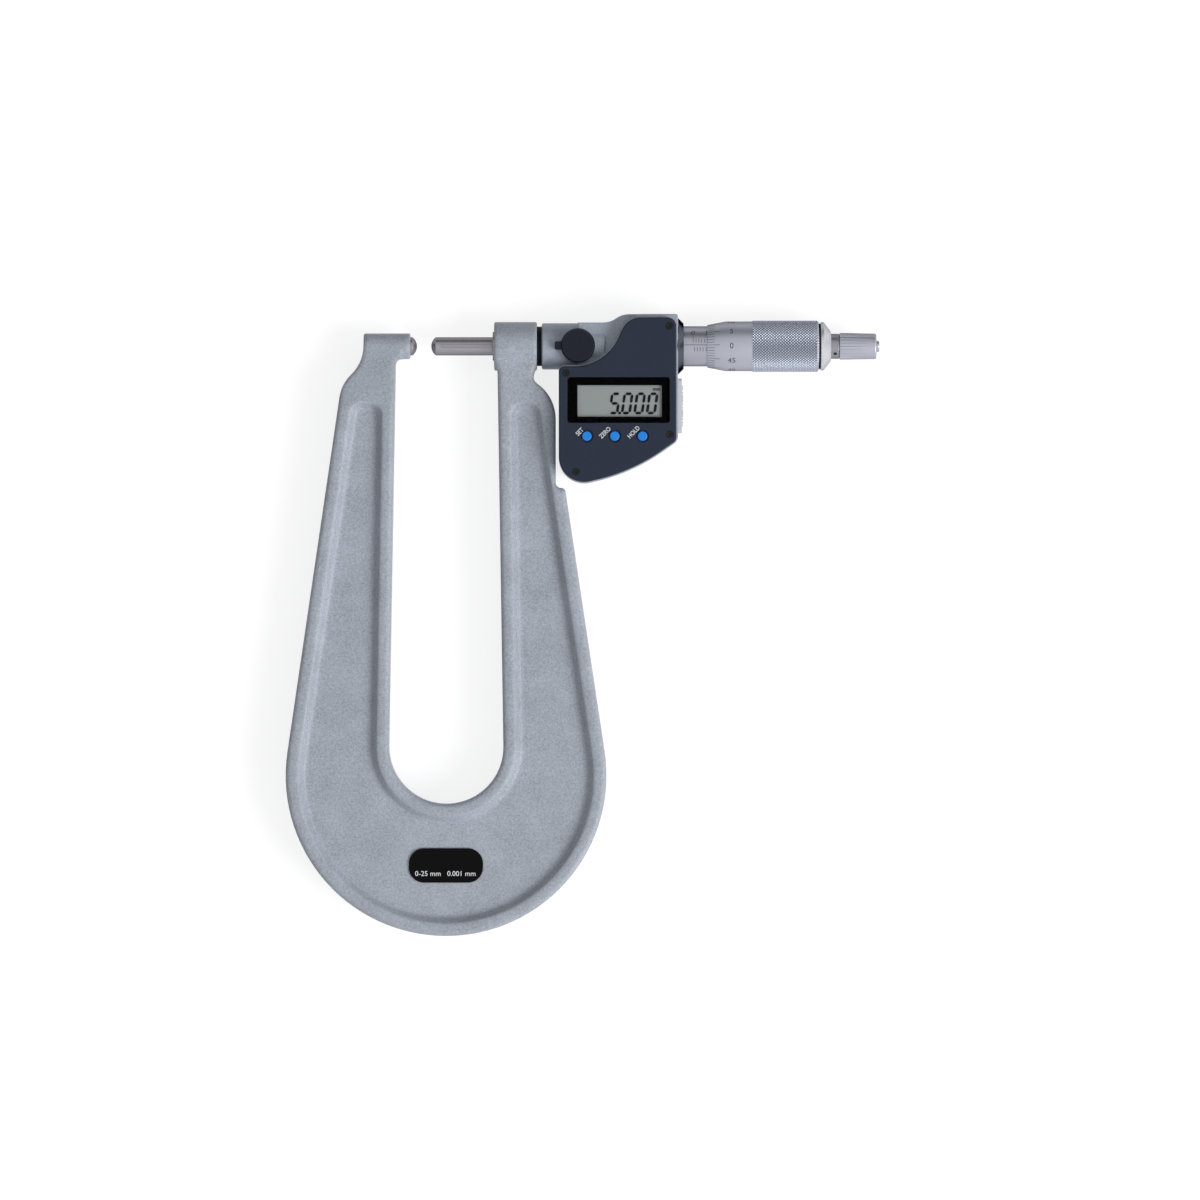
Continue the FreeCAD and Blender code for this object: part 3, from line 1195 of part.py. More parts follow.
def make_output_socket():
    """Data socket in the side wall's opening, with its body under the board."""
    body = new_body("output_socket")
    nose = rectangle(PORT_Y, "0", "port_long", "port_high")
    start = f"({BARREL_OUT} - port_sunk)"
    wall = "(cover_right - head_wall - slip_gap)"
    pad(body, draw(new_sketch(body, "YZ_Plane", start), nose), "port_deep", reverse=True)
    block = [
        (f"{start} - port_deep", "-port_high / 2"),
        (wall, "-port_high / 2"),
        (wall, BOARD_BACK),
        (f"{start} - port_deep", BOARD_BACK),
    ]
    lifted = new_sketch(body, "XZ_Plane", "port_drop")
    pad(body, draw(lifted, block), "port_long", both_ways=True)
    pins = rectangle(PORT_Y, "0", "(port_long - 2 * port_wall)", "(port_high - 2 * port_wall)")
    pocket(body, draw(new_sketch(body, "YZ_Plane", start), pins), "port_pin_deep")
    return body


def make_clamp_knob():
    """Bevelled knob with a finger tab that points to the frame."""
    body = new_body("clamp_knob", ("knob_x", "0", "0"))
    top = "(knob_lift + knob_high)"
    turn(body, [
        ("0", "knob_lift"),
        ("knob_dia / 2", "knob_lift"),
        ("knob_dia / 2", f"{top} - knob_bevel"),
        ("knob_top_dia / 2", top),
        ("0", top),
    ], plane="XZ_Plane", axis="V_Axis")
    tab = [
        ("0", "-tab_wide / 2"),
        ("0", "tab_wide / 2"),
        ("-tab_reach", "tab_wide / 2", "tab_round"),
        ("-tab_reach", "-tab_wide / 2", "tab_round"),
    ]
    pad(body, draw(new_sketch(body, "XY_Plane", "knob_lift"), tab), "tab_high")
    stud = draw_circle(new_sketch(body, "XY_Plane", "knob_lift"), "0", "0", "clamp_stud_dia / 2")
    pocket(body, stud, "clamp_stud_long", reverse=True)
    return body


def make_clamp_screw():
    """Steel screw under the knob, with a stud that the knob is pressed on."""
    body = new_body("clamp_screw", ("knob_x", "0", "0"))
    low = f"({CLAMP_FLOOR} + shoe_high + snug_gap)"
    turn(body, [
        ("0", low),
        ("clamp_dia / 2", low, "edge_break"),
        ("clamp_dia / 2", "knob_lift"),
        ("clamp_stud_dia / 2", "knob_lift"),
        ("clamp_stud_dia / 2", "knob_lift + clamp_stud_long"),
        ("0", "knob_lift + clamp_stud_long"),
    ], plane="XZ_Plane", axis="V_Axis")
    return body


def make_clamp_shoe():
    """Brass shoe that the screw presses on the spindle."""
    body = new_body("clamp_shoe", ("knob_x", "0", "0"))
    turn(body, [
        ("0", CLAMP_FLOOR),
        ("clamp_dia / 2", CLAMP_FLOOR),
        ("clamp_dia / 2", f"{CLAMP_FLOOR} + shoe_high"),
        ("0", f"{CLAMP_FLOOR} + shoe_high"),
    ], plane="XZ_Plane", axis="V_Axis")
    return body


def make_encoder_stator():
    """Fixed disc of the rotary sensor, on the end of the housing's inner boss."""
    body = new_body("encoder_stator")
    turn(body, level_ring("stator_from", "stator_from + stator_thick", "spindle_room / 2", "stator_dia / 2"))
    return body


ROTOR_X = "(stator_from + stator_thick + rotor_gap)"
KEY_X = f"({ROTOR_X} + rotor_disc + rotor_neck / 2)"


def make_encoder_rotor():
    """Turning disc of the sensor, with a hub that runs in the inner sleeve."""
    body = new_body("encoder_rotor")
    collar = f"({ROTOR_X} + rotor_disc)"
    hub = f"({collar} + rotor_neck)"
    turn(body, [
        (ROTOR_X, SPINDLE_BORE),
        (f"{hub} + rotor_hub", SPINDLE_BORE),
        (f"{hub} + rotor_hub", "rotor_hub_dia / 2"),
        (hub, "rotor_hub_dia / 2"),
        (hub, "rotor_neck_dia / 2"),
        (collar, "rotor_neck_dia / 2"),
        (collar, "rotor_dia / 2"),
        (ROTOR_X, "rotor_dia / 2"),
    ])
    hole = draw_circle(new_sketch(body, "XY_Plane", "rotor_dia / 2"), KEY_X, "0", "key_dia / 2")
    pocket(body, hole, "rotor_dia / 2")
    return body


def make_rotor_key():
    """Pin in the rotor that runs in the spindle's groove."""
    body = new_body("rotor_key")
    low = "(spindle_dia / 2 - groove_deep + slip_gap)"
    pin = draw_circle(new_sketch(body, "XY_Plane", low), KEY_X, "0", "key_dia / 2")
    pad(body, pin, f"rotor_neck_dia / 2 - {low}")
    return body


BARREL_END = "(barrel_from + barrel_long)"
BARREL_SEAT = "(barrel_from + barrel_hub_deep + slip_gap)"
REAR_FROM = "(barrel_from + barrel_long - barrel_rear)"
BEZEL_TO = "(cover_right + border_right + bezel_long)"


def make_inner_sleeve():
    """Sleeve with the nut thread, pressed into the housing's side wall."""
    body = new_body("inner_sleeve")
    bore = "(thread_dia / 2 + running_gap)"
    turn(body, [
        ("barrel_from", "rotor_hub_dia / 2 + running_gap"),
        (BARREL_SEAT, "rotor_hub_dia / 2 + running_gap"),
        (BARREL_SEAT, bore),
        (BARREL_END, bore),
        (BARREL_END, "barrel_rear_dia / 2"),
        (REAR_FROM, "barrel_rear_dia / 2"),
        (REAR_FROM, "barrel_dia / 2"),
        ("barrel_from", "barrel_dia / 2"),
    ])
    return body


def make_barrel_ring():
    """Polished ring with a broad bevel, where the barrel leaves the housing."""
    body = new_body("barrel_ring")
    bevel = "((bezel_dia - bezel_small_dia) / 2)"
    turn(body, [
        (BARREL_OUT, "barrel_dia / 2"),
        (BEZEL_TO, "barrel_dia / 2"),
        (BEZEL_TO, "bezel_small_dia / 2"),
        (f"{BEZEL_TO} - {bevel}", "bezel_dia / 2"),
        (BARREL_OUT, "bezel_dia / 2"),
    ])
    return body


def make_scale_sleeve():
    """Sleeve with the scale, on the inner sleeve."""
    body = new_body("scale_sleeve")
    turn(body, level_ring(BEZEL_TO, REAR_FROM, "barrel_dia / 2", "sleeve_dia / 2"))
    return body


def make_adjusting_nut():
    """Ring nut that closes the slotted end of the inner sleeve on the thread."""
    body = new_body("adjusting_nut")
    start = f"({REAR_FROM} + slip_gap)"
    turn(body, level_ring(start, f"{start} + adjust_long", "barrel_rear_dia / 2", "adjust_dia / 2"))
    notch = rectangle(f"({start} + adjust_long)", "0", "(2 * nut_notch_long)", "nut_notch_wide")
    sketch = draw(new_sketch(body, "XY_Plane"), notch)
    pocket(body, sketch, "adjust_dia", both_ways=True)
    return body


# Places along the spindle, from its tip; with the tips closed they are also places on the axis
THREAD_FROM = f"({BARREL_SEAT} + thread_gap)"
TAPER_FROM = f"({BARREL_END} + back_gap)"
TAPER_TO = f"({TAPER_FROM} + taper_long)"
STUB_TO = f"({TAPER_TO} + stub_long)"
THIMBLE_TO = f"({TAPER_TO} + taper_short)"
CAP_FROM = f"({THIMBLE_TO} + washer_thick)"
NECK_FROM = f"({CAP_FROM} + cap_end_rim + cap_end_cone)"
CROWN_FROM = f"({NECK_FROM} + neck_long)"
CROWN_TO = f"({CROWN_FROM} + crown_long)"
GRIP_FROM = f"({CROWN_FROM} + ratchet_gap)"
GRIP_TO = f"({GRIP_FROM} + grip_long)"
PAWL_FROM = f"({CROWN_TO} + pawl_gap)"
SPINDLE_PLACE = ("reading", "0", "0")


def make_spindle():
    """Ground rod with a ball tip, a key groove, the thread's body and a taper."""
    body = new_body("spindle", SPINDLE_PLACE)
    tip_long = "(tip_radius - sqrt(tip_radius ^ 2 - (spindle_dia / 2) ^ 2))"
    turn(body, [
        ("0", "0"),
        (STUB_TO, "0"),
        (STUB_TO, "stub_dia / 2"),
        (TAPER_TO, "stub_dia / 2"),
        (TAPER_TO, "taper_dia / 2"),
        (TAPER_FROM, "thread_dia / 2"),
        (THREAD_FROM, "thread_dia / 2"),
        (THREAD_FROM, "spindle_dia / 2"),
        (tip_long, "spindle_dia / 2"),
        bow("tip_radius", 1),
    ])
    groove = new_sketch(body, "XY_Plane", "spindle_dia / 2")
    groove_to = f"({THREAD_FROM} - groove_stop)"
    middle, long = f"((groove_from + {groove_to}) / 2)", f"({groove_to} - groove_from)"
    draw(groove, rectangle(middle, "0", long, "groove_wide"))
    pocket(body, groove, "groove_deep")
    return body


def make_thimble():
    """Thimble: graduated bevel, plain band and knurled grip, on the spindle's taper."""
    body = new_body("thimble", SPINDLE_PLACE)
    bevel_to = "(thimble_from + thimble_bevel)"
    plain_to = "(thimble_from + thimble_bevel + thimble_plain)"
    turn(body, [
        ("thimble_from", "thimble_bore / 2"),
        (TAPER_FROM, "thimble_bore / 2"),
        (TAPER_FROM, "thread_dia / 2"),
        (TAPER_TO, "taper_dia / 2"),
        (THIMBLE_TO, "taper_dia / 2"),
        (THIMBLE_TO, "knurl_dia / 2 - thimble_end"),
        (f"{THIMBLE_TO} - thimble_end", "knurl_dia / 2"),
        (plain_to, "knurl_dia / 2"),
        (plain_to, "thimble_dia / 2"),
        (bevel_to, "thimble_dia / 2"),
        ("thimble_from", "thimble_edge_dia / 2"),
    ])
    return body


def make_thimble_washer():
    """Dark ring between the thimble and its end cap."""
    body = new_body("thimble_washer", SPINDLE_PLACE)
    turn(body, level_ring(THIMBLE_TO, CAP_FROM, "stub_dia / 2", "washer_dia / 2"))
    return body


def make_thimble_end_cap():
    """Cap nut that draws the thimble onto the taper."""
    body = new_body("thimble_end_cap", SPINDLE_PLACE)
    turn(body, [
        (CAP_FROM, "stub_dia / 2"),
        (NECK_FROM, "stub_dia / 2"),
        (NECK_FROM, "cap_end_small / 2"),
        (f"{CAP_FROM} + cap_end_rim", "cap_end_dia / 2"),
        (CAP_FROM, "cap_end_dia / 2", "edge_break"),
    ])
    return body


def make_ratchet_neck():
    """Neck on the stub, with a ring of face teeth and a hole for a spanner's pin."""
    body = new_body("ratchet_neck", SPINDLE_PLACE)
    turn(body, [
        (NECK_FROM, "stub_dia / 2"),
        (STUB_TO, "stub_dia / 2"),
        (STUB_TO, "end_screw_dia / 2"),
        (CROWN_TO, "end_screw_dia / 2"),
        (CROWN_TO, "crown_dia / 2"),
        (CROWN_FROM, "crown_dia / 2"),
        (CROWN_FROM, "neck_dia / 2", "edge_break"),
        (NECK_FROM, "neck_dia / 2"),
    ])
    gap = new_sketch(body, "YZ_Plane", CROWN_TO)
    draw(gap, rectangle("(crown_dia / 2)", "0", "(crown_dia / 2)", "tooth_wide"))
    polar(body, pocket(body, gap, "tooth_deep"), "teeth")
    hole = new_sketch(body, "XY_Plane", "neck_dia / 2 * cos(pin_hole_turn)")
    hole.AttachmentOffset = Placement(Vector(0, 0, 0), Rotation(Vector(1, 0, 0), number("pin_hole_turn")))
    bind(hole, "AttachmentOffset.Rotation.Angle", "pin_hole_turn")
    bind(hole, "AttachmentOffset.Base.y", "-neck_dia / 2 * sin(pin_hole_turn)")
    draw_circle(hole, f"{NECK_FROM} + neck_long / 2", "0", "pin_hole_dia / 2")
    pocket(body, hole, "pin_hole_deep")
    return body


def make_ratchet_pawl():
    """Toothed ring inside the knob, driven by the knob's two ribs."""
    body = new_body("ratchet_pawl", SPINDLE_PLACE)
    end = f"({PAWL_FROM} + pawl_thick)"
    bore = "(end_screw_dia / 2 + slip_gap)"
    turn(body, level_ring(PAWL_FROM, end, bore, "pawl_dia / 2"))
    gap = new_sketch(body, "YZ_Plane", PAWL_FROM)
    draw(gap, rectangle("(crown_dia / 2)", "0", "(crown_dia / 2)", "tooth_wide"))
    polar(body, pocket(body, gap, "tooth_deep", reverse=True), "teeth")
    notches = new_sketch(body, "YZ_Plane", PAWL_FROM)
    for side in ("-", ""):
        middle = f"({side}grip_bore / 2)"
        draw(notches, rectangle(middle, "0", "(2 * rib_high + slip_gap)", "(rib_wide + slip_gap)"))
    pocket(body, notches, "pawl_thick", reverse=True)
    return body


SPRING_FROM = f"({PAWL_FROM} + pawl_thick)"
GRIP_INSIDE = f"({GRIP_TO} - grip_end_wall)"


def make_ratchet_spring():
    """Coil spring between the pawl and the knob's end wall; each half turn is an arc tipped along the axis."""
    start = number(f"reading + {SPRING_FROM} + spring_wire / 2")
    halves = max(1, round(number("spring_halves")))
    rise = number(f"{GRIP_INSIDE} - {SPRING_FROM} - spring_wire") / halves
    coil, wire = number("spring_dia / 2"), number("spring_wire / 2")
    upward = Vector(0, 0, 1)
    faces = []
    for index in range(halves):
        side = 1 if index % 2 == 0 else -1
        head = Vector(start + index * rise, side * coil, 0)
        tail = Vector(start + (index + 1) * rise, -side * coil, 0)
        ring = Part.Wire(Part.makeCircle(wire, head, upward))
        if index == 0:
            faces.append(Part.Face(ring))
        axis = upward.cross(tail - head) * side
        faces += ring.revolve((head + tail) * 0.5, axis, 180).Faces
    faces.append(Part.Face(Part.Wire(Part.makeCircle(wire, tail, upward))))
    shape = Part.Solid(Part.Shell(faces))
    if shape.Volume < 0:
        shape.reverse()
    node = doc.addObject("Part::Feature", "ratchet_spring")
    node.Label = "ratchet_spring"
    node.Shape = shape
    return node


def make_ratchet_knob():
    """Fluted knob with two ribs in its bore that drive the pawl."""
    body = new_body("ratchet_knob", SPINDLE_PLACE)
    turn(body, [
        (GRIP_FROM, "grip_bore / 2"),
        (GRIP_INSIDE, "grip_bore / 2"),
        (GRIP_INSIDE, "end_screw_dia / 2 + slip_gap"),
        (GRIP_TO, "end_screw_dia / 2 + slip_gap"),
        (GRIP_TO, "grip_end_dia / 2", "grip_round"),
        (GRIP_FROM, "grip_dia / 2", "edge_break"),
    ])
    flute = new_sketch(body, "YZ_Plane", f"{GRIP_FROM} - overcut")
    draw_circle(flute, "grip_dia / 2 + flute_out", "0", "flute_dia / 2")
    polar(body, pocket(body, flute, "grip_long + 2 * overcut", reverse=True), "flutes")
    ribs = new_sketch(body, "YZ_Plane", GRIP_INSIDE)
    for side in ("-", ""):
        middle = f"({side}(grip_bore / 2 + rib_root / 2 - rib_high / 2))"
        draw(ribs, rectangle(middle, "0", "(rib_high + rib_root)", "rib_wide"))
    pad(body, ribs, f"{GRIP_INSIDE} - {PAWL_FROM}", reverse=True)
    return body


def make_ratchet_screw():
    """Slotted screw through the knob into the neck."""
    body = new_body("ratchet_screw", SPINDLE_PLACE)
    head = f"({GRIP_TO} + snug_gap)"
    turn(body, [
        (STUB_TO, "0"),
        (f"{head} + end_head_high", "0"),
        (f"{head} + end_head_high", "end_head_dia / 2", "edge_break"),
        (head, "end_head_dia / 2"),
        (head, "end_screw_dia / 2"),
        (STUB_TO, "end_screw_dia / 2"),
    ])
    slot = rectangle(f"({head} + end_head_high)", "0", "end_head_high", "end_slot")
    pocket(body, draw(new_sketch(body, "XY_Plane"), slot), "2 * end_head_dia", both_ways=True)
    return body


PIECES = [
    make_frame(),
    make_anvil(),
    make_name_plate(),
    make_spindle_guide(),
    make_spindle_wiper(),
    make_head_seal(),
    make_head_casting(),
    make_cover_gasket(),
    make_front_cover(),
    make_cover_screws(),
    make_display_window(),
    make_lcd_panel(),
    make_lcd_holder(),
    make_elastomer_strips(),
    make_circuit_board(),
    make_button("button_set", BUTTON_XS[0]),
    make_button("button_zero", BUTTON_XS[1]),
    make_button("button_hold", BUTTON_XS[2]),
    make_button_mat(),
    make_switch_domes(),
    make_battery_cell(),
    make_battery_holder(),
    make_battery_contact_side(),
    make_battery_contact_top(),
    make_battery_cap(),
    make_battery_cap_seal(),
    make_output_cap(),
    make_output_socket(),
    make_clamp_knob(),
    make_clamp_screw(),
    make_clamp_shoe(),
    make_encoder_stator(),
    make_encoder_rotor(),
    make_rotor_key(),
    make_inner_sleeve(),
    make_barrel_ring(),
    make_scale_sleeve(),
    make_adjusting_nut(),
    make_spindle(),
    make_thimble(),
    make_thimble_washer(),
    make_thimble_end_cap(),
    make_ratchet_neck(),
    make_ratchet_pawl(),
    make_ratchet_spring(),
    make_ratchet_knob(),
    make_ratchet_screw(),
]
doc.recompute()

faults = [f"{item.Label}: {item.State}" for item in doc.Objects if {"Invalid", "Error"} & set(item.State)]
for piece in PIECES:
    if piece.Shape.isNull() or not piece.Shape.isValid():
        faults.append(f"{piece.Label}: no valid shape")
if faults:
    raise RuntimeError("; ".join(faults))
for piece in PIECES:
    piece.Shape.exportStep(f"parts/{piece.Label}.step")
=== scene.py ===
import math

import bmesh
import bpy
from mathutils import Matrix, Vector


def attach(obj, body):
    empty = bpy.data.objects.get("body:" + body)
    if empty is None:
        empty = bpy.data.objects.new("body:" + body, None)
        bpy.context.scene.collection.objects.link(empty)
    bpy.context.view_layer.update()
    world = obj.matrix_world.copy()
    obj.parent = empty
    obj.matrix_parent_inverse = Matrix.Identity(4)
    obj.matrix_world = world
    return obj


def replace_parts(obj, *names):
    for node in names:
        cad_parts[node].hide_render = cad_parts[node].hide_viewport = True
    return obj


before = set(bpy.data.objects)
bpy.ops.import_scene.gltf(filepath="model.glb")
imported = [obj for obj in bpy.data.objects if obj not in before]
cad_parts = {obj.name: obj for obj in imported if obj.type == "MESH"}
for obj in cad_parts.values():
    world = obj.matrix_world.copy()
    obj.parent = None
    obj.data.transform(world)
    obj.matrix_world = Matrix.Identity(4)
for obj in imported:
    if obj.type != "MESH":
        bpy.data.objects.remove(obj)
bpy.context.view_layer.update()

# Frame casting
# The deep U is one iron casting with a rim round a sunk web. It is sprayed with pale blue-grey
# enamel that dries to a fine speckle, and it is the fixed part that everything else is mounted on.
MM = 0.001


def shade(red, green, blue):
    """Screen colour, 0 to 255 each, as the linear colour that a shader takes."""
    def linear(value):
        value = value / 255
        return value / 12.92 if value <= 0.04045 else ((value + 0.055) / 1.055) ** 2.4
    return (linear(red), linear(green), linear(blue), 1)


def add(tree, kind, inputs=None, **settings):
    """New shader node; each input is a plain value or the socket that feeds it."""
    made = tree.nodes.new(kind)
    for name, value in settings.items():
        setattr(made, name, value)
    for key, value in (inputs or {}).items():
        if isinstance(value, bpy.types.NodeSocket):
            tree.links.new(value, made.inputs[key])
        else:
            made.inputs[key].default_value = value
    return made


def maths(tree, operation, *values, clamp=False):
    """Socket with the result of a sum on one to three values."""
    node = add(tree, "ShaderNodeMath", dict(enumerate(values)), operation=operation, use_clamp=clamp)
    return node.outputs[0]


def new_group(name, inputs, outputs):
    """Empty shader group with its sockets, and its input and output nodes."""
    group = bpy.data.node_groups.new(name, "ShaderNodeTree")
    kinds = {"Colour": "NodeSocketColor", "Normal": "NodeSocketVector"}
    for title in inputs:
        group.interface.new_socket(title, in_out="INPUT", socket_type=kinds.get(title, "NodeSocketFloat"))
    for title in outputs:
        group.interface.new_socket(title, in_out="OUTPUT", socket_type=kinds.get(title, "NodeSocketFloat"))
    return group, group.nodes.new("NodeGroupInput"), group.nodes.new("NodeGroupOutput")


def speckle_group():
    """Grains that vary a colour and raise the surface a little, with a slow mottle under them."""
    inputs = ("Colour", "Scale", "Amount", "Depth", "Roughness", "Round")
    group, given, result = new_group("speckle", inputs, ("Colour", "Roughness", "Normal"))
    soft = add(group, "ShaderNodeBevel", {"Radius": given.outputs["Round"]}, samples=6)
    place = add(group, "ShaderNodeTexCoord").outputs["Object"]
    fine = add(group, "ShaderNodeTexNoise",
               {"Vector": place, "Scale": given.outputs["Scale"], "Detail": 2.5, "Roughness": 0.65})
    slow = add(group, "ShaderNodeTexNoise", {"Vector": place, "Scale": 90.0, "Detail": 3.0})
    grain = maths(group, "MULTIPLY_ADD", fine.outputs["Fac"], 2.0, -1.0)
    mottle = maths(group, "MULTIPLY_ADD", slow.outputs["Fac"], 0.7, -0.35)
    swing = maths(group, "MULTIPLY", maths(group, "ADD", grain, mottle), given.outputs["Amount"])
    value = maths(group, "ADD", swing, 1.0)
    tinted = add(group, "ShaderNodeHueSaturation", {"Color": given.outputs["Colour"], "Value": value})
    bump = add(group, "ShaderNodeBump", {"Height": fine.outputs["Fac"], "Distance": given.outputs["Depth"],
                                         "Normal": soft.outputs["Normal"]})
    rough = maths(group, "MULTIPLY_ADD", grain, 0.06, given.outputs["Roughness"], clamp=True)
    for title, socket in (("Colour", tinted.outputs["Color"]), ("Roughness", rough),
                          ("Normal", bump.outputs["Normal"])):
        group.links.new(socket, result.inputs[title])
    return group


def wear_group():
    """Mask that is 1 on outer edges, where handling has rubbed them."""
    group, given, result = new_group("edge_wear", ("Radius",), ("Mask",))
    soft = add(group, "ShaderNodeBevel", {"Radius": given.outputs["Radius"]}, samples=4)
    true = add(group, "ShaderNodeNewGeometry")
    same = add(group, "ShaderNodeVectorMath", {0: soft.outputs["Normal"], 1: true.outputs["Normal"]},
               operation="DOT_PRODUCT").outputs["Value"]
    place = add(group, "ShaderNodeTexCoord").outputs["Object"]
    patch = add(group, "ShaderNodeTexNoise", {"Vector": place, "Scale": 260.0, "Detail": 3.0})
    edge = maths(group, "MULTIPLY", maths(group, "SUBTRACT", 1.0, same), 5.0, clamp=True)
    worn = maths(group, "MULTIPLY", edge, patch.outputs["Fac"], clamp=True)
    group.links.new(worn, result.inputs["Mask"])
    return group


def paint(name, colour, worn, roughness, scale, amount, depth,
          wear_radius=0.0004, edge_round=0.00015, **constants):
    """Speckled finish with softened edges that turn towards a worn colour; constants go on the shader."""
    made = bpy.data.materials.new(name)
    made.use_nodes = True
    tree = made.node_tree
    grains = add(tree, "ShaderNodeGroup", node_tree=SPECKLE)
    for title, value in (("Colour", colour), ("Scale", scale), ("Amount", amount), ("Depth", depth),
                         ("Roughness", roughness), ("Round", edge_round)):
        grains.inputs[title].default_value = value
    wear = add(tree, "ShaderNodeGroup", node_tree=WEAR)
    wear.inputs["Radius"].default_value = wear_radius
    mixed = add(tree, "ShaderNodeMix", {0: wear.outputs["Mask"], 6: grains.outputs["Colour"], 7: worn},
                data_type="RGBA")
    shader = tree.nodes["Principled BSDF"]
    tree.links.new(mixed.outputs[2], shader.inputs["Base Color"])
    tree.links.new(grains.outputs["Roughness"], shader.inputs["Roughness"])
    tree.links.new(grains.outputs["Normal"], shader.inputs["Normal"])
    for title, value in constants.items():
        shader.inputs[title.replace("_", " ")].default_value = value
    return made


def dress(finish, *nodes):
    """Give carried-over solids their finish."""
    for node in nodes:
        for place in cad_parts[node].material_slots:
            place.material = finish


SPECKLE = speckle_group()
WEAR = wear_group()
frame_enamel = paint("frame_enamel", shade(155, 161, 172), shade(190, 195, 203), 0.42, 1600.0, 0.6, 0.00004,
                     wear_radius=0.0008, edge_round=0.0026)
dress(frame_enamel, "frame")

# Head casting
# The housing of the display is a smaller casting in the same enamel, a shade darker. It sits on
# the bush that comes out of the frame's boss, and carries the cover, the board and the battery.
head_enamel = paint("head_enamel", shade(154, 162, 176), shade(184, 190, 200), 0.4, 1700.0, 0.36, 0.00003,
                    edge_round=0.0008)
dress(head_enamel, "head_casting")

# Anvil, spindle and guide
# Hardened steel rods, ground and lapped. Fine rings from the wheel run round them, and a key
# groove runs along the spindle, which slides in a steel bush pressed into the frame.


def rings_group():
    """Machining rings about X: they vary a colour and a roughness and groove the surface a little."""
    inputs = ("Colour", "Scale", "Amount", "Depth", "Roughness")
    group, given, result = new_group("turned_rings", inputs, ("Colour", "Roughness", "Normal"))
    place = add(group, "ShaderNodeTexCoord").outputs["Object"]
    along = add(group, "ShaderNodeSeparateXYZ", {"Vector": place}).outputs["X"]
    ring = add(group, "ShaderNodeTexNoise", {"W": along, "Scale": given.outputs["Scale"], "Detail": 4.0},
               noise_dimensions="1D").outputs["Fac"]
    cloud = add(group, "ShaderNodeTexNoise", {"Vector": place, "Scale": 220.0, "Detail": 3.0})
    stain = maths(group, "MULTIPLY_ADD", cloud.outputs["Fac"], 0.5, -0.25)
    both = maths(group, "ADD", ring, stain)
    swing = maths(group, "MULTIPLY_ADD", both, 2.0, -1.0)
    value = maths(group, "MULTIPLY_ADD", swing, given.outputs["Amount"], 1.0)
    tinted = add(group, "ShaderNodeHueSaturation", {"Color": given.outputs["Colour"], "Value": value})
    rough = maths(group, "MULTIPLY_ADD", swing, 0.05, given.outputs["Roughness"], clamp=True)
    bump = add(group, "ShaderNodeBump", {"Height": ring, "Distance": given.outputs["Depth"]})
    for title, socket in (("Colour", tinted.outputs["Color"]), ("Roughness", rough),
                          ("Normal", bump.outputs["Normal"])):
        group.links.new(socket, result.inputs[title])
    return group


def turned(name, colour, roughness, scale=9000.0, amount=0.06, depth=0.000002, edge=shade(70, 72, 80),
           **constants):
    """Turned or ground metal whose grazing edges go dark: its edge tint is painted shade, a dark tint on
    the reflection at grazing angles.
    """
    made = bpy.data.materials.new(name)
    made.use_nodes = True
    tree = made.node_tree
    rings = add(tree, "ShaderNodeGroup", node_tree=RINGS)
    for title, value in (("Colour", colour), ("Scale", scale), ("Amount", amount), ("Depth", depth),
                         ("Roughness", roughness)):
        rings.inputs[title].default_value = value
    shader = tree.nodes["Principled BSDF"]
    for title, socket in (("Base Color", "Colour"), ("Roughness", "Roughness"), ("Normal", "Normal")):
        tree.links.new(rings.outputs[socket], shader.inputs[title])
    shader.inputs["Metallic"].default_value = 1
    # Painted shade: the edge colour darkens the reflection at grazing angles, in place of dark surroundings
    # reflected there.
    shader.inputs["Specular Tint"].default_value = edge
    for title, value in constants.items():
        shader.inputs[title.replace("_", " ")].default_value = value
    return made


RINGS = rings_group()
ground_steel = turned("ground_steel", shade(152, 150, 156), 0.4, edge=shade(20, 20, 24))
dress(ground_steel, "anvil", "spindle", "spindle_guide", "inner_sleeve", "adjusting_nut", "clamp_screw",
      "rotor_key")

# Name plate
# A thin black plate, glued in the web at the bottom of the bow. It carries the range and the
# step of the display in pale print along its lower edge.


def bar(u, v, wide, high):
    """Corners of an upright rectangle round a middle point, in millimetres."""
    return [(u - wide / 2, v - high / 2), (u + wide / 2, v - high / 2),
            (u + wide / 2, v + high / 2), (u - wide / 2, v + high / 2)]


def write(sheet, text, u, v, high, turn=0.0, squeeze=1.0, bold=0.0):
    """Add a word to a flat sheet, centred on a point and scaled to its height in millimetres."""
    curve = bpy.data.curves.new("word", "FONT")
    curve.body = text
    curve.resolution_u = 4
    curve.offset = bold
    holder = bpy.data.objects.new("word", curve)
    mesh = bpy.data.meshes.new_from_object(holder)
    low = [min(vertex.co[i] for vertex in mesh.vertices) for i in (0, 1)]
    top = [max(vertex.co[i] for vertex in mesh.vertices) for i in (0, 1)]
    scale = high / (top[1] - low[1])
    middle = Matrix.Translation((-(low[0] + top[0]) / 2, -(low[1] + top[1]) / 2, 0))
    mesh.transform(Matrix.Translation((u, v, 0)) @ Matrix.Rotation(turn, 4, "Z")
                   @ Matrix.Diagonal((scale * squeeze, scale, 1, 1)) @ middle)
    sheet.from_mesh(mesh)
    bpy.data.objects.remove(holder)
    bpy.data.curves.remove(curve)
    bpy.data.meshes.remove(mesh)


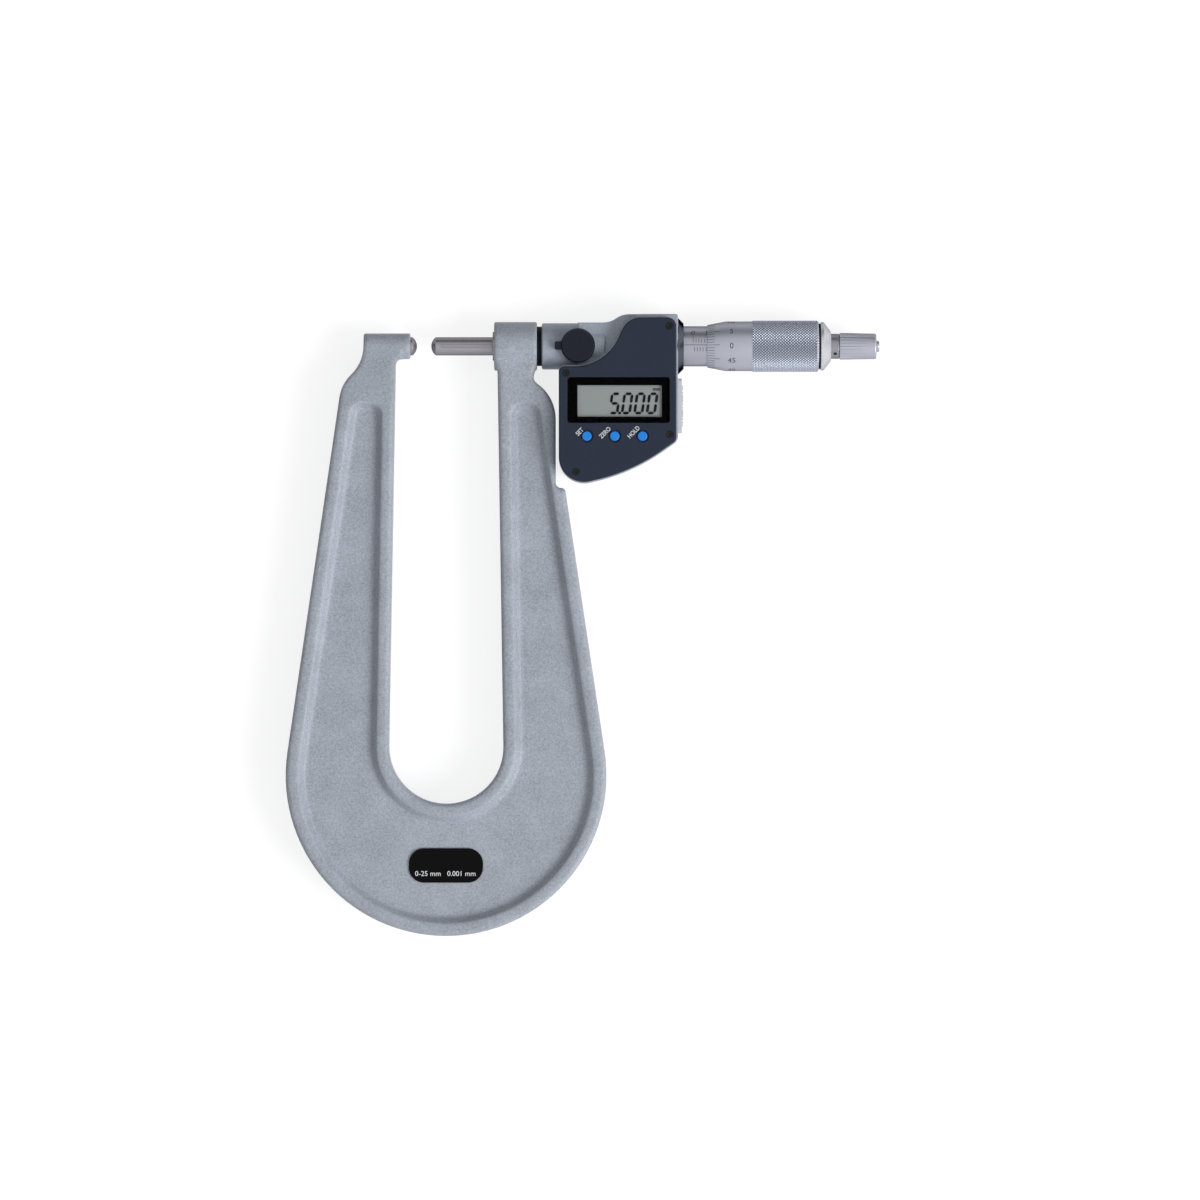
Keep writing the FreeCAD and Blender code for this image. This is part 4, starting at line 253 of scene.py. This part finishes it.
def printed(name, shapes, words, place, finish, body, cuts=()):
    """Ink drawn flat in millimetres, cut along level lines and laid on a surface by place(u, v)."""
    sheet = bmesh.new()
    for corners in shapes:
        sheet.faces.new([sheet.verts.new((u, v, 0)) for u, v in corners])
    for word in words:
        write(sheet, *word)
    for level in cuts:
        everything = sheet.verts[:] + sheet.edges[:] + sheet.faces[:]
        bmesh.ops.bisect_plane(sheet, geom=everything, plane_co=(0, level, 0), plane_no=(0, 1, 0))
    for vertex in sheet.verts:
        vertex.co = Vector(place(vertex.co.x, vertex.co.y)) * MM
    return finished(name, sheet, finish, body)


def finished(name, shape, finish, body):
    """Mesh piece from a bmesh, riding on its body."""
    mesh = bpy.data.meshes.new(name)
    shape.to_mesh(mesh)
    shape.free()
    piece = bpy.data.objects.new(name, mesh)
    bpy.context.scene.collection.objects.link(piece)
    for each in finish if isinstance(finish, tuple) else (finish,):
        mesh.materials.append(each)
    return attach(piece, body)


plate_lacquer = paint("plate_lacquer", shade(9, 9, 10), shade(40, 40, 44), 0.4, 900.0, 0.2, 0.000004,
                      Specular_IOR_Level=0.05)
pale_ink = paint("pale_ink", shade(222, 224, 226), shade(222, 224, 226), 0.5, 2500.0, 0.1, 0.000001)
dress(plate_lacquer, "name_plate")
PLATE_TOP, PRINT_Y, PRINT_HIGH = 4.42, -184.2, 1.75
printed("plate_print", [],
        [("0-25 mm", 3.9, PRINT_Y, PRINT_HIGH), ("0.001 mm", 15.6, PRINT_Y, PRINT_HIGH)],
        lambda u, v: (u, v, PLATE_TOP), pale_ink, "root")

# Seals
# Black rubber rings keep dirt and coolant out at the spindle, between the frame and the head,
# under the cover and in the battery cap. The key pad and the display's strips are rubber too.
rubber = paint("rubber", shade(17, 19, 30), shade(36, 38, 48), 0.6, 2200.0, 0.2, 0.00001,
               Specular_IOR_Level=0.1)
dress(rubber, "head_seal", "spindle_wiper", "cover_gasket", "battery_cap_seal", "button_mat",
      "elastomer_strips")

# Front cover
# A moulded cover of slate-coloured plastic with a fine spark-eroded grain, held by four black
# socket screws. Three words are printed beside the buttons.
cover_plastic = paint("cover_plastic", shade(38, 45, 60), shade(62, 68, 82), 0.46, 3800.0, 0.2, 0.00001,
                      Specular_IOR_Level=0.15)
dress(cover_plastic, "front_cover")
screw_black = paint("screw_black", shade(10, 10, 13), shade(78, 80, 86), 0.3, 3000.0, 0.2, 0.000004,
                    Specular_IOR_Level=0.2)
dress(screw_black, "cover_screws")
COVER_TOP = 12.02
LABEL_HIGH, LABEL_TURN, LABEL_SQUEEZE, LABEL_BOLD = 1.55, math.radians(45), 0.85, 0.006
labels = [(word, u, v, LABEL_HIGH, LABEL_TURN, LABEL_SQUEEZE, LABEL_BOLD)
          for word, u, v in (("SET", 56.9, -30.1), ("ZERO", 65.7, -30.4), ("HOLD", 75.7, -30.2))]
printed("button_words", [], labels,
        lambda u, v: (u, v, COVER_TOP), pale_ink, "root")

# Display
# A clear pane is set flush in the cover. A black border is printed on its back, and the digits
# are dark segments in the grey glass panel behind it.


def seven_segments(figure, left, low, wide, high, thick, gap, slant):
    """Corners of the lit segments of one figure, leaning to the right."""
    half = high / 2
    h = thick / 2
    flat = [(gap, 0), (gap + h, h), (wide - gap - h, h),
            (wide - gap, 0), (wide - gap - h, -h), (gap + h, -h)]
    upright = [(0, gap), (h, gap + h), (h, half - gap - h),
               (0, half - gap), (-h, half - gap - h), (-h, gap + h)]
    places = {"a": (flat, 0, high), "g": (flat, 0, half), "d": (flat, 0, 0), "f": (upright, 0, half),
              "e": (upright, 0, 0), "b": (upright, wide, half), "c": (upright, wide, 0)}
    lit = {"0": "abcdef", "5": "afgcd"}[figure]
    shapes = []
    for name in lit:
        corners, right, up = places[name]
        shapes.append([(left + x + right + (y + up) * slant, low + y + up) for x, y in corners])
    return shapes


def clear_pane():
    """Acrylic that lets light straight through to what lies behind it."""
    made = bpy.data.materials.new("clear_pane")
    made.use_nodes = True
    tree = made.node_tree
    shader = tree.nodes["Principled BSDF"]
    place = add(tree, "ShaderNodeTexCoord").outputs["Object"]
    smears = add(tree, "ShaderNodeTexNoise", {"Vector": place, "Scale": 140.0, "Detail": 4.0})
    tree.links.new(maths(tree, "MULTIPLY", smears.outputs["Fac"], 0.05), shader.inputs["Roughness"])
    shader.inputs["Transmission Weight"].default_value = 1
    shader.inputs["IOR"].default_value = 1.08
    path = add(tree, "ShaderNodeLightPath")
    through = maths(tree, "MAXIMUM", path.outputs["Is Shadow Ray"], path.outputs["Is Diffuse Ray"])
    clear = add(tree, "ShaderNodeBsdfTransparent")
    mixed = add(tree, "ShaderNodeMixShader", {0: through, 1: shader.outputs[0], 2: clear.outputs[0]})
    tree.links.new(mixed.outputs[0], tree.nodes["Material Output"].inputs["Surface"])
    return made


dress(clear_pane(), "display_window")
lcd_glass = paint("lcd_glass", shade(155, 163, 161), shade(155, 163, 161), 0.35, 5000.0, 0.05, 0.000001)
dress(lcd_glass, "lcd_panel")
border_black = paint("border_black", shade(5, 5, 6), shade(5, 5, 6), 0.5, 2600.0, 0.15, 0.000001,
                     Specular_IOR_Level=0.0)
segment_dark = paint("segment_dark", shade(16, 20, 22), shade(16, 20, 22), 0.5, 4000.0, 0.1, 0.000001,
                     Specular_IOR_Level=0.1)
WINDOW_X, WINDOW_Y = 70.45, -19.0
VIEW_X, VIEW_Y, VIEW_WIDE, VIEW_HIGH = 70.85, -19.4, 29.4, 11.0
BORDER_WIDE, BORDER_HIGH, BORDER_ROUND, ROUND_STEPS = 35.5, 15.75, 1.5, 6
BORDER_Z, GLASS_TOP = 11.06, 10.22


def border_shapes():
    """The border with round outer corners, as four sides and a fan at each corner."""
    inner = bar(VIEW_X, VIEW_Y, VIEW_WIDE, VIEW_HIGH)
    middles = bar(WINDOW_X, WINDOW_Y, BORDER_WIDE - 2 * BORDER_ROUND, BORDER_HIGH - 2 * BORDER_ROUND)
    arcs = []
    for corner, (u, v) in enumerate(middles):
        turns = [math.pi * (1 + corner / 2 + step / (2 * ROUND_STEPS)) for step in range(ROUND_STEPS + 1)]
        arcs.append([(u + BORDER_ROUND * math.cos(turn), v + BORDER_ROUND * math.sin(turn))
                     for turn in turns])
    shapes = []
    for corner, arc in enumerate(arcs):
        following = (corner + 1) % 4
        shapes += [[arc[step], arc[step + 1], inner[corner]] for step in range(ROUND_STEPS)]
        shapes.append([arc[-1], arcs[following][0], inner[following], inner[corner]])
    return shapes


printed("display_border", border_shapes(), [],
        lambda u, v: (u, v, BORDER_Z), border_black, "root")
DIGIT_LEFT, DIGIT_LOW, DIGIT_STEP, POINT_RIGHT, POINT_WIDE = 67.35, -23.55, 4.35, 3.5, 0.95
DIGIT_WIDE, DIGIT_HIGH, STROKE, SEGMENT_GAP, SLANT = 2.6, 6.7, 1.0, 0.14, math.tan(math.radians(8))
segments = [bar(DIGIT_LEFT + POINT_RIGHT, DIGIT_LOW, POINT_WIDE, POINT_WIDE)]
for index, figure in enumerate("5000"):
    segments += seven_segments(figure, DIGIT_LEFT + index * DIGIT_STEP, DIGIT_LOW, DIGIT_WIDE, DIGIT_HIGH,
                               STROKE, SEGMENT_GAP, SLANT)
printed("display_digits", segments, [("mm", 83.7, -15.35, 0.95, 0.0, 1.0, 0.04)],
        lambda u, v: (u, v, GLASS_TOP), segment_dark, "root")

# Buttons
# Three domed push buttons of bright blue plastic stand in wells of the cover, on a rubber mat.
button_blue = paint("button_blue", shade(22, 126, 218), shade(90, 166, 236), 0.36, 3000.0, 0.1, 0.000003,
                    Specular_IOR_Level=0.35)
dress(button_blue, "button_set", "button_zero", "button_hold")

# Clamp knob and battery cap
# The spindle clamp is a black anodised knob with a tab that the thumb turns. The battery cap in
# the back is black plastic with a coin slot, and so are the holders inside the head.
knob_black = paint("knob_black", shade(27, 30, 41), shade(70, 74, 84), 0.4, 2400.0, 0.2, 0.000006,
                   Specular_IOR_Level=0.12)
dress(knob_black, "clamp_knob", "battery_cap", "lcd_holder", "battery_holder", "output_socket")

# Output cap
# A pale grey rubber cap with fine ribs plugs the data socket on the right side of the head.
port_grey = paint("port_grey", shade(196, 197, 199), shade(214, 215, 216), 0.55, 2600.0, 0.1, 0.00001)
dress(port_grey, "output_cap")
RIBS, RIB_STEP, RIB_WIDE, RIB_PROUD, RIB_LONG = 10, 1.32, 0.62, 0.35, 7.6
CAP_FACE, CAP_MIDDLE = 92.72, -20.85


def make_cap_ribs():
    """Small rounded ribs across the cap's outer face, for a finger nail."""
    shape = bmesh.new()
    half, tip, shoulder = RIB_WIDE / 2, RIB_WIDE / 5, 0.8
    outline = [(0, -half), (RIB_PROUD * shoulder, -half * shoulder), (RIB_PROUD, -tip), (RIB_PROUD, tip),
               (RIB_PROUD * shoulder, half * shoulder), (0, half)]
    for index in range(RIBS):
        middle = CAP_MIDDLE + (index - (RIBS - 1) / 2) * RIB_STEP
        ends = [[shape.verts.new(((CAP_FACE + x) * MM, (middle + y) * MM, z * MM)) for x, y in outline]
                for z in (-RIB_LONG / 2, RIB_LONG / 2)]
        shape.faces.new(ends[0])
        shape.faces.new(ends[1])
        for a in range(len(outline)):
            b = (a + 1) % len(outline)
            shape.faces.new((ends[0][a], ends[0][b], ends[1][b], ends[1][a]))
    bmesh.ops.recalc_face_normals(shape, faces=shape.faces[:])
    return finished("cap_ribs", shape, port_grey, "root")


make_cap_ribs()

# Barrel
# A polished bevelled ring ends the head, and the satin-chromed sleeve behind it carries the
# engraved scale of 25 mm: whole millimetres above the index line, halves below it.
# Painted shade: the ring's dark base colour and near-black edge tint stand in for the dark surroundings
# that the polished ring reflects.
polished = turned("polished_steel", shade(92, 94, 102), 0.1, amount=0.03, edge=shade(4, 4, 5))
sleeve_chrome = turned("sleeve_chrome", shade(166, 167, 178), 0.36, edge=shade(4, 4, 8), Metallic=0.75)
dress(polished, "barrel_ring")
dress(sleeve_chrome, "scale_sleeve")
engraved = paint("engraved_black", shade(44, 46, 54), shade(30, 32, 36), 0.6, 3000.0, 0.2, 0.000001)
SLEEVE_RADIUS, INK_PROUD = 7.025, 0.02
SCALE_ZERO, SCALE_LONG, INDEX_Y, LINE_WIDE, LINE_GAP = 96.5, 25, 0.3, 0.17, 0.8
INDEX_FROM, INDEX_TO, LONG_TICK, SHORT_TICK, HALF_TICK = 93.4, 121.8, 2.2, 1.3, 1.5
NUMBER_UP, NUMBER_HIGH, BEND_STEP = 4.7, 2.0, 0.4


def on_sleeve(u, v):
    """Point on the scale sleeve, v millimetres round it from the front."""
    angle, radius = v / SLEEVE_RADIUS, SLEEVE_RADIUS + INK_PROUD
    return (u, radius * math.sin(angle), radius * math.cos(angle))


scale = [bar((INDEX_FROM + INDEX_TO) / 2, INDEX_Y, INDEX_TO - INDEX_FROM, LINE_WIDE)]
numbers = []
for step in range(SCALE_LONG + 1):
    long = LONG_TICK if step % 5 == 0 else SHORT_TICK
    scale.append(bar(SCALE_ZERO + step, INDEX_Y + LINE_GAP + long / 2, LINE_WIDE, long))
    if step < SCALE_LONG:
        scale.append(bar(SCALE_ZERO + step + 0.5, INDEX_Y - LINE_GAP - HALF_TICK / 2, LINE_WIDE, HALF_TICK))
    if step % 5 == 0:
        numbers.append((str(step), SCALE_ZERO + step, INDEX_Y + NUMBER_UP, NUMBER_HIGH))
printed("sleeve_scale", scale, numbers, on_sleeve, engraved, "root",
        [BEND_STEP * level for level in range(-6, 16)])

# Thimble
# The thimble is turned from steel, chromed, and locked on the spindle's taper. Its bevel has 50
# divisions, and a diamond knurl of small flat-sided pyramids runs round the grip.
THIMBLE_FROM, BEVEL_TO, KNURL_FROM, KNURL_TO, THIMBLE_TO = 101.5, 107.9, 117.3, 139.8, 140.4
EDGE_RADIUS, PLAIN_RADIUS, KNURL_RADIUS, BORE_RADIUS = 7.45, 8.7, 9.04, 7.2
TAPER_FROM, TAPER_TO, THREAD_RADIUS, TAPER_RADIUS = 133.0, 139.5, 3.7, 3.2
KNURL_ROUND, KNURL_ALONG, KNURL_SAMPLES, KNURL_DEEP, GROOVE_SHADE_TOP = 54, 21, 4, 0.3, 0.25


def knurl_height(along, around):
    """Height of the diamond knurl, 0 in a groove to 1 on a point, at a place in cells."""
    groove = max(abs((along + around) % 1 - 0.5), abs((along - around) % 1 - 0.5)) * 2
    return min(1.0, (1 - groove) * 1.25)


def make_thimble(finish):
    """The thimble: rings of points from its edge over the knurl and back through its bore."""
    count = KNURL_ROUND * KNURL_SAMPLES
    rows = KNURL_ALONG * KNURL_SAMPLES
    rings = [(THIMBLE_FROM, EDGE_RADIUS), (BEVEL_TO, PLAIN_RADIUS), (KNURL_FROM, PLAIN_RADIUS)]
    rings += [(KNURL_FROM + (KNURL_TO - KNURL_FROM) * row / rows, row / KNURL_SAMPLES)
              for row in range(rows + 1)]
    first, last = 3, 3 + rows
    rings += [(THIMBLE_TO, KNURL_RADIUS - THIMBLE_TO + KNURL_TO), (THIMBLE_TO, TAPER_RADIUS),
              (TAPER_TO, TAPER_RADIUS), (TAPER_FROM, THREAD_RADIUS), (TAPER_FROM, BORE_RADIUS),
              (THIMBLE_FROM, BORE_RADIUS)]
    shape = bmesh.new()
    grid = []
    for number, (x, size) in enumerate(rings):
        line = []
        for index in range(count):
            radius = size
            if first <= number <= last:
                radius = KNURL_RADIUS - KNURL_DEEP * (1 - knurl_height(size, index / KNURL_SAMPLES))
            angle = 2 * math.pi * index / count
            y, z = radius * math.sin(angle), radius * math.cos(angle)
            line.append(shape.verts.new((x * MM, y * MM, z * MM)))
        grid.append(line)
    for number, line in enumerate(grid):
        following = grid[(number + 1) % len(grid)]
        knurled = first <= number < last
        for index in range(count):
            a, b = line[index], following[index]
            c, d = following[(index + 1) % count], line[(index + 1) % count]
            if not knurled:
                shape.faces.new((a, b, c, d)).smooth = True
                continue
            across = a.co.yz.length + c.co.yz.length < b.co.yz.length + d.co.yz.length
            for corners in ((a, b, c), (a, c, d)) if across else ((a, b, d), (b, c, d)):
                shape.faces.new(corners).material_index = 1
    bmesh.ops.recalc_face_normals(shape, faces=shape.faces[:])
    piece = finished("thimble_knurled", shape, finish, "spindle_set")
    piece.data.set_sharp_from_angle(angle=math.radians(25))
    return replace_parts(piece, "thimble")


def on_thimble(u, v):
    """Point on the thimble's bevel or band, v millimetres round its plain part from the front."""
    share = min(1.0, max(0.0, (u - THIMBLE_FROM) / (BEVEL_TO - THIMBLE_FROM)))
    radius = EDGE_RADIUS + (PLAIN_RADIUS - EDGE_RADIUS) * share + INK_PROUD
    angle = v / PLAIN_RADIUS
    return (u, radius * math.sin(angle), radius * math.cos(angle))


def darken_grooves(finish):
    """Paint shade into the knurl's grooves: the colour darkens towards the groove floor, by the distance
    from the axis.
    """
    tree = finish.node_tree
    shader = tree.nodes["Principled BSDF"]
    rings = shader.inputs["Base Color"].links[0].from_socket
    place = add(tree, "ShaderNodeTexCoord").outputs["Object"]
    off_axis = add(tree, "ShaderNodeVectorMath", {0: place, 1: (0, 1, 1)}, operation="MULTIPLY")
    distance = add(tree, "ShaderNodeVectorMath", {0: off_axis.outputs[0]}, operation="LENGTH")
    low, high = (KNURL_RADIUS - KNURL_DEEP) * MM, (KNURL_RADIUS - GROOVE_SHADE_TOP * KNURL_DEEP) * MM
    rise = add(tree, "ShaderNodeMapRange",
               {"Value": distance.outputs["Value"], "From Min": low, "From Max": high})
    mixed = add(tree, "ShaderNodeMix", {0: rise.outputs[0], 6: GROOVE_SHADE_COLOUR, 7: rings}, data_type="RGBA")
    tree.links.new(mixed.outputs[2], shader.inputs["Base Color"])


# Painted shade: the colour that the knurl darkens to at the floor of its grooves.
GROOVE_SHADE_COLOUR = shade(104, 110, 124)
satin_chrome = turned("satin_chrome", shade(176, 179, 190), 0.42, edge=shade(24, 26, 32), Metallic=0.6)
knurl_chrome = turned("knurl_chrome", shade(196, 202, 215), 0.45, amount=0.04, edge=shade(40, 42, 50),
                      Metallic=0.55)
darken_grooves(knurl_chrome)
make_thimble((satin_chrome, knurl_chrome))
DIVISIONS, NUMBER_X, MARK_INSET, LONG_MARK, SHORT_MARK = 50, 109.9, 0.15, 4.2, 2.4
division = 2 * math.pi * PLAIN_RADIUS / DIVISIONS
dial, figures, levels = [], [], []
for step in range(DIVISIONS):
    around = INDEX_Y + (step if step <= DIVISIONS // 2 else step - DIVISIONS) * division
    long = LONG_MARK if step % 5 == 0 else SHORT_MARK
    dial.append(bar(THIMBLE_FROM + MARK_INSET + long / 2, around, long, LINE_WIDE))
    if step % 5 == 0:
        figures.append((str(step), NUMBER_X, around - 0.3, NUMBER_HIGH))
        levels += [around + BEND_STEP * level for level in range(-3, 4)]
printed("thimble_scale", dial, figures, on_thimble, engraved, "spindle_set", levels)

# End cap and ratchet
# A dark washer and a conical chromed cap draw the thimble onto the taper. Behind them a short
# steel neck with a hole for a spanner carries the fluted knob, held by one slotted screw.
washer_dark = turned("washer_dark", shade(40, 42, 50), 0.4, edge=shade(20, 20, 24))
dress(washer_dark, "thimble_washer")
cap_chrome = turned("cap_chrome", shade(204, 206, 210), 0.4, edge=shade(80, 82, 88), Metallic=0.6)
dress(cap_chrome, "thimble_end_cap")
neck_steel = turned("neck_steel", shade(146, 146, 153), 0.4, edge=shade(30, 30, 36), Metallic=0.7)
dress(neck_steel, "ratchet_neck")
dress(satin_chrome, "ratchet_knob", "ratchet_screw")

# Inside the head and the knob
# Board, contacts, cell, rotary sensor and clutch are hidden, but an open part shows them: green
# laminate, nickel-plated springs, brass and amber resin.
board_green = paint("board_green", shade(28, 92, 62), shade(120, 130, 90), 0.4, 1800.0, 0.25, 0.000004)
dress(board_green, "circuit_board", "encoder_stator")
rotor_amber = paint("rotor_amber", shade(150, 104, 44), shade(180, 140, 80), 0.35, 1500.0, 0.15, 0.000004)
dress(rotor_amber, "encoder_rotor")
spring_steel = turned("spring_steel", shade(176, 176, 180), 0.26)
dress(spring_steel, "ratchet_spring", "ratchet_pawl", "switch_domes",
      "battery_contact_side", "battery_contact_top", "battery_cell")
shoe_brass = turned("shoe_brass", shade(202, 168, 92), 0.3)
dress(shoe_brass, "clamp_shoe")

# Studio
# The object lies on a pale table under a soft sky. The key light comes from the right and a
# little from below, and dark cards on the left and above, with the metals' painted dark edge tint, give the
# metal its dark edges.


def stage_plane(name, wide, deep, place, finish):
    """Flat rectangle of the studio, not part of the object."""
    mesh = bpy.data.meshes.new(name)
    corners = [(u, v, 0) for u, v in bar(0, 0, wide, deep)]
    mesh.from_pydata(corners, [], [(0, 1, 2, 3)])
    mesh.transform(place)
    mesh.materials.append(finish)
    plane = bpy.data.objects.new(name, mesh)
    bpy.context.scene.collection.objects.link(plane)
    return plane


def background_rays(tree):
    """1 for rays that show the background: camera, glossy and transmission rays."""
    path = add(tree, "ShaderNodeLightPath").outputs
    mirrored = maths(tree, "MAXIMUM", path["Is Glossy Ray"], path["Is Transmission Ray"])
    return maths(tree, "MAXIMUM", path["Is Camera Ray"], mirrored)


def table_top():
    """Pale table: a soft shadow stays, the lit part shows white, and from below it is clear."""
    made = bpy.data.materials.new("table_top")
    made.use_nodes = True
    tree = made.node_tree
    tree.nodes.remove(tree.nodes["Principled BSDF"])
    place = add(tree, "ShaderNodeTexCoord").outputs["Object"]
    cloud = add(tree, "ShaderNodeTexNoise", {"Vector": place, "Scale": 60.0, "Detail": 4.0})
    tone = add(tree, "ShaderNodeMix", data_type="RGBA",
               inputs={0: cloud.outputs["Fac"], 6: (0.30, 0.30, 0.31, 1), 7: (0.33, 0.33, 0.34, 1)})
    matte = add(tree, "ShaderNodeBsdfDiffuse", {"Color": tone.outputs[2]})
    bright = maths(tree, "MULTIPLY_ADD", background_rays(tree), SEEN_GLOW, BOUNCED_GLOW)
    glow = add(tree, "ShaderNodeEmission", {"Color": (1, 1, 1, 1), "Strength": bright})
    total = add(tree, "ShaderNodeAddShader", {0: matte.outputs[0], 1: glow.outputs[0]})
    under = add(tree, "ShaderNodeNewGeometry").outputs["Backfacing"]
    clear = add(tree, "ShaderNodeBsdfTransparent")
    mixed = add(tree, "ShaderNodeMixShader", {0: under, 1: total.outputs[0], 2: clear.outputs[0]})
    tree.links.new(mixed.outputs[0], tree.nodes["Material Output"].inputs["Surface"])
    return made


FLOOR_Z, SEEN_GLOW, BOUNCED_GLOW = -0.0101, 0.61, 0.18
stage_plane("table", 6, 6, Matrix.Translation((0.06, -0.09, FLOOR_Z)), table_top())

card_black = paint("card_black", shade(62, 62, 66), shade(62, 62, 66), 0.8, 200.0, 0.1, 0.0001)
left_card = Matrix.Translation((-0.75, -0.09, 0.22)) @ Matrix.Rotation(math.radians(90), 4, "Y")
high_card = Matrix.Translation((0.06, 0.55, 0.22)) @ Matrix.Rotation(math.radians(90), 4, "X")
CARD_LONG, CARD_WIDE = 1.3, 0.44
for card in (stage_plane("card_left", CARD_WIDE, CARD_LONG, left_card, card_black),
             stage_plane("card_high", CARD_LONG, CARD_WIDE, high_card, card_black)):
    card.visible_camera = False

sky = bpy.data.worlds.new("sky")
sky.use_nodes = True
bpy.context.scene.world = sky
SKY_LEVEL = 0.57
level = maths(sky.node_tree, "MULTIPLY_ADD", background_rays(sky.node_tree), 1 - SKY_LEVEL, SKY_LEVEL)
backdrop = sky.node_tree.nodes["Background"]
backdrop.inputs["Color"].default_value = (1, 1, 1, 1)
sky.node_tree.links.new(level, backdrop.inputs["Strength"])

key = bpy.data.lights.new("key", "SUN")
key.energy = 2.4
key.angle = math.radians(35)
lamp = bpy.data.objects.new("key", key)
lamp.rotation_euler = Vector((0.78, -0.34, 0.62)).to_track_quat("Z", "Y").to_euler()
bpy.context.scene.collection.objects.link(lamp)

lens = bpy.data.cameras.new("camera")
lens.lens = 250
lens.sensor_width = 36
lens.clip_end = 20
camera = bpy.data.objects.new("camera", lens)
camera.location = (0.0640, -0.0887, 2.914)
bpy.context.scene.collection.objects.link(camera)
bpy.context.scene.camera = camera
bpy.context.scene.view_settings.view_transform = "Standard"

bpy.context.view_layer.update()
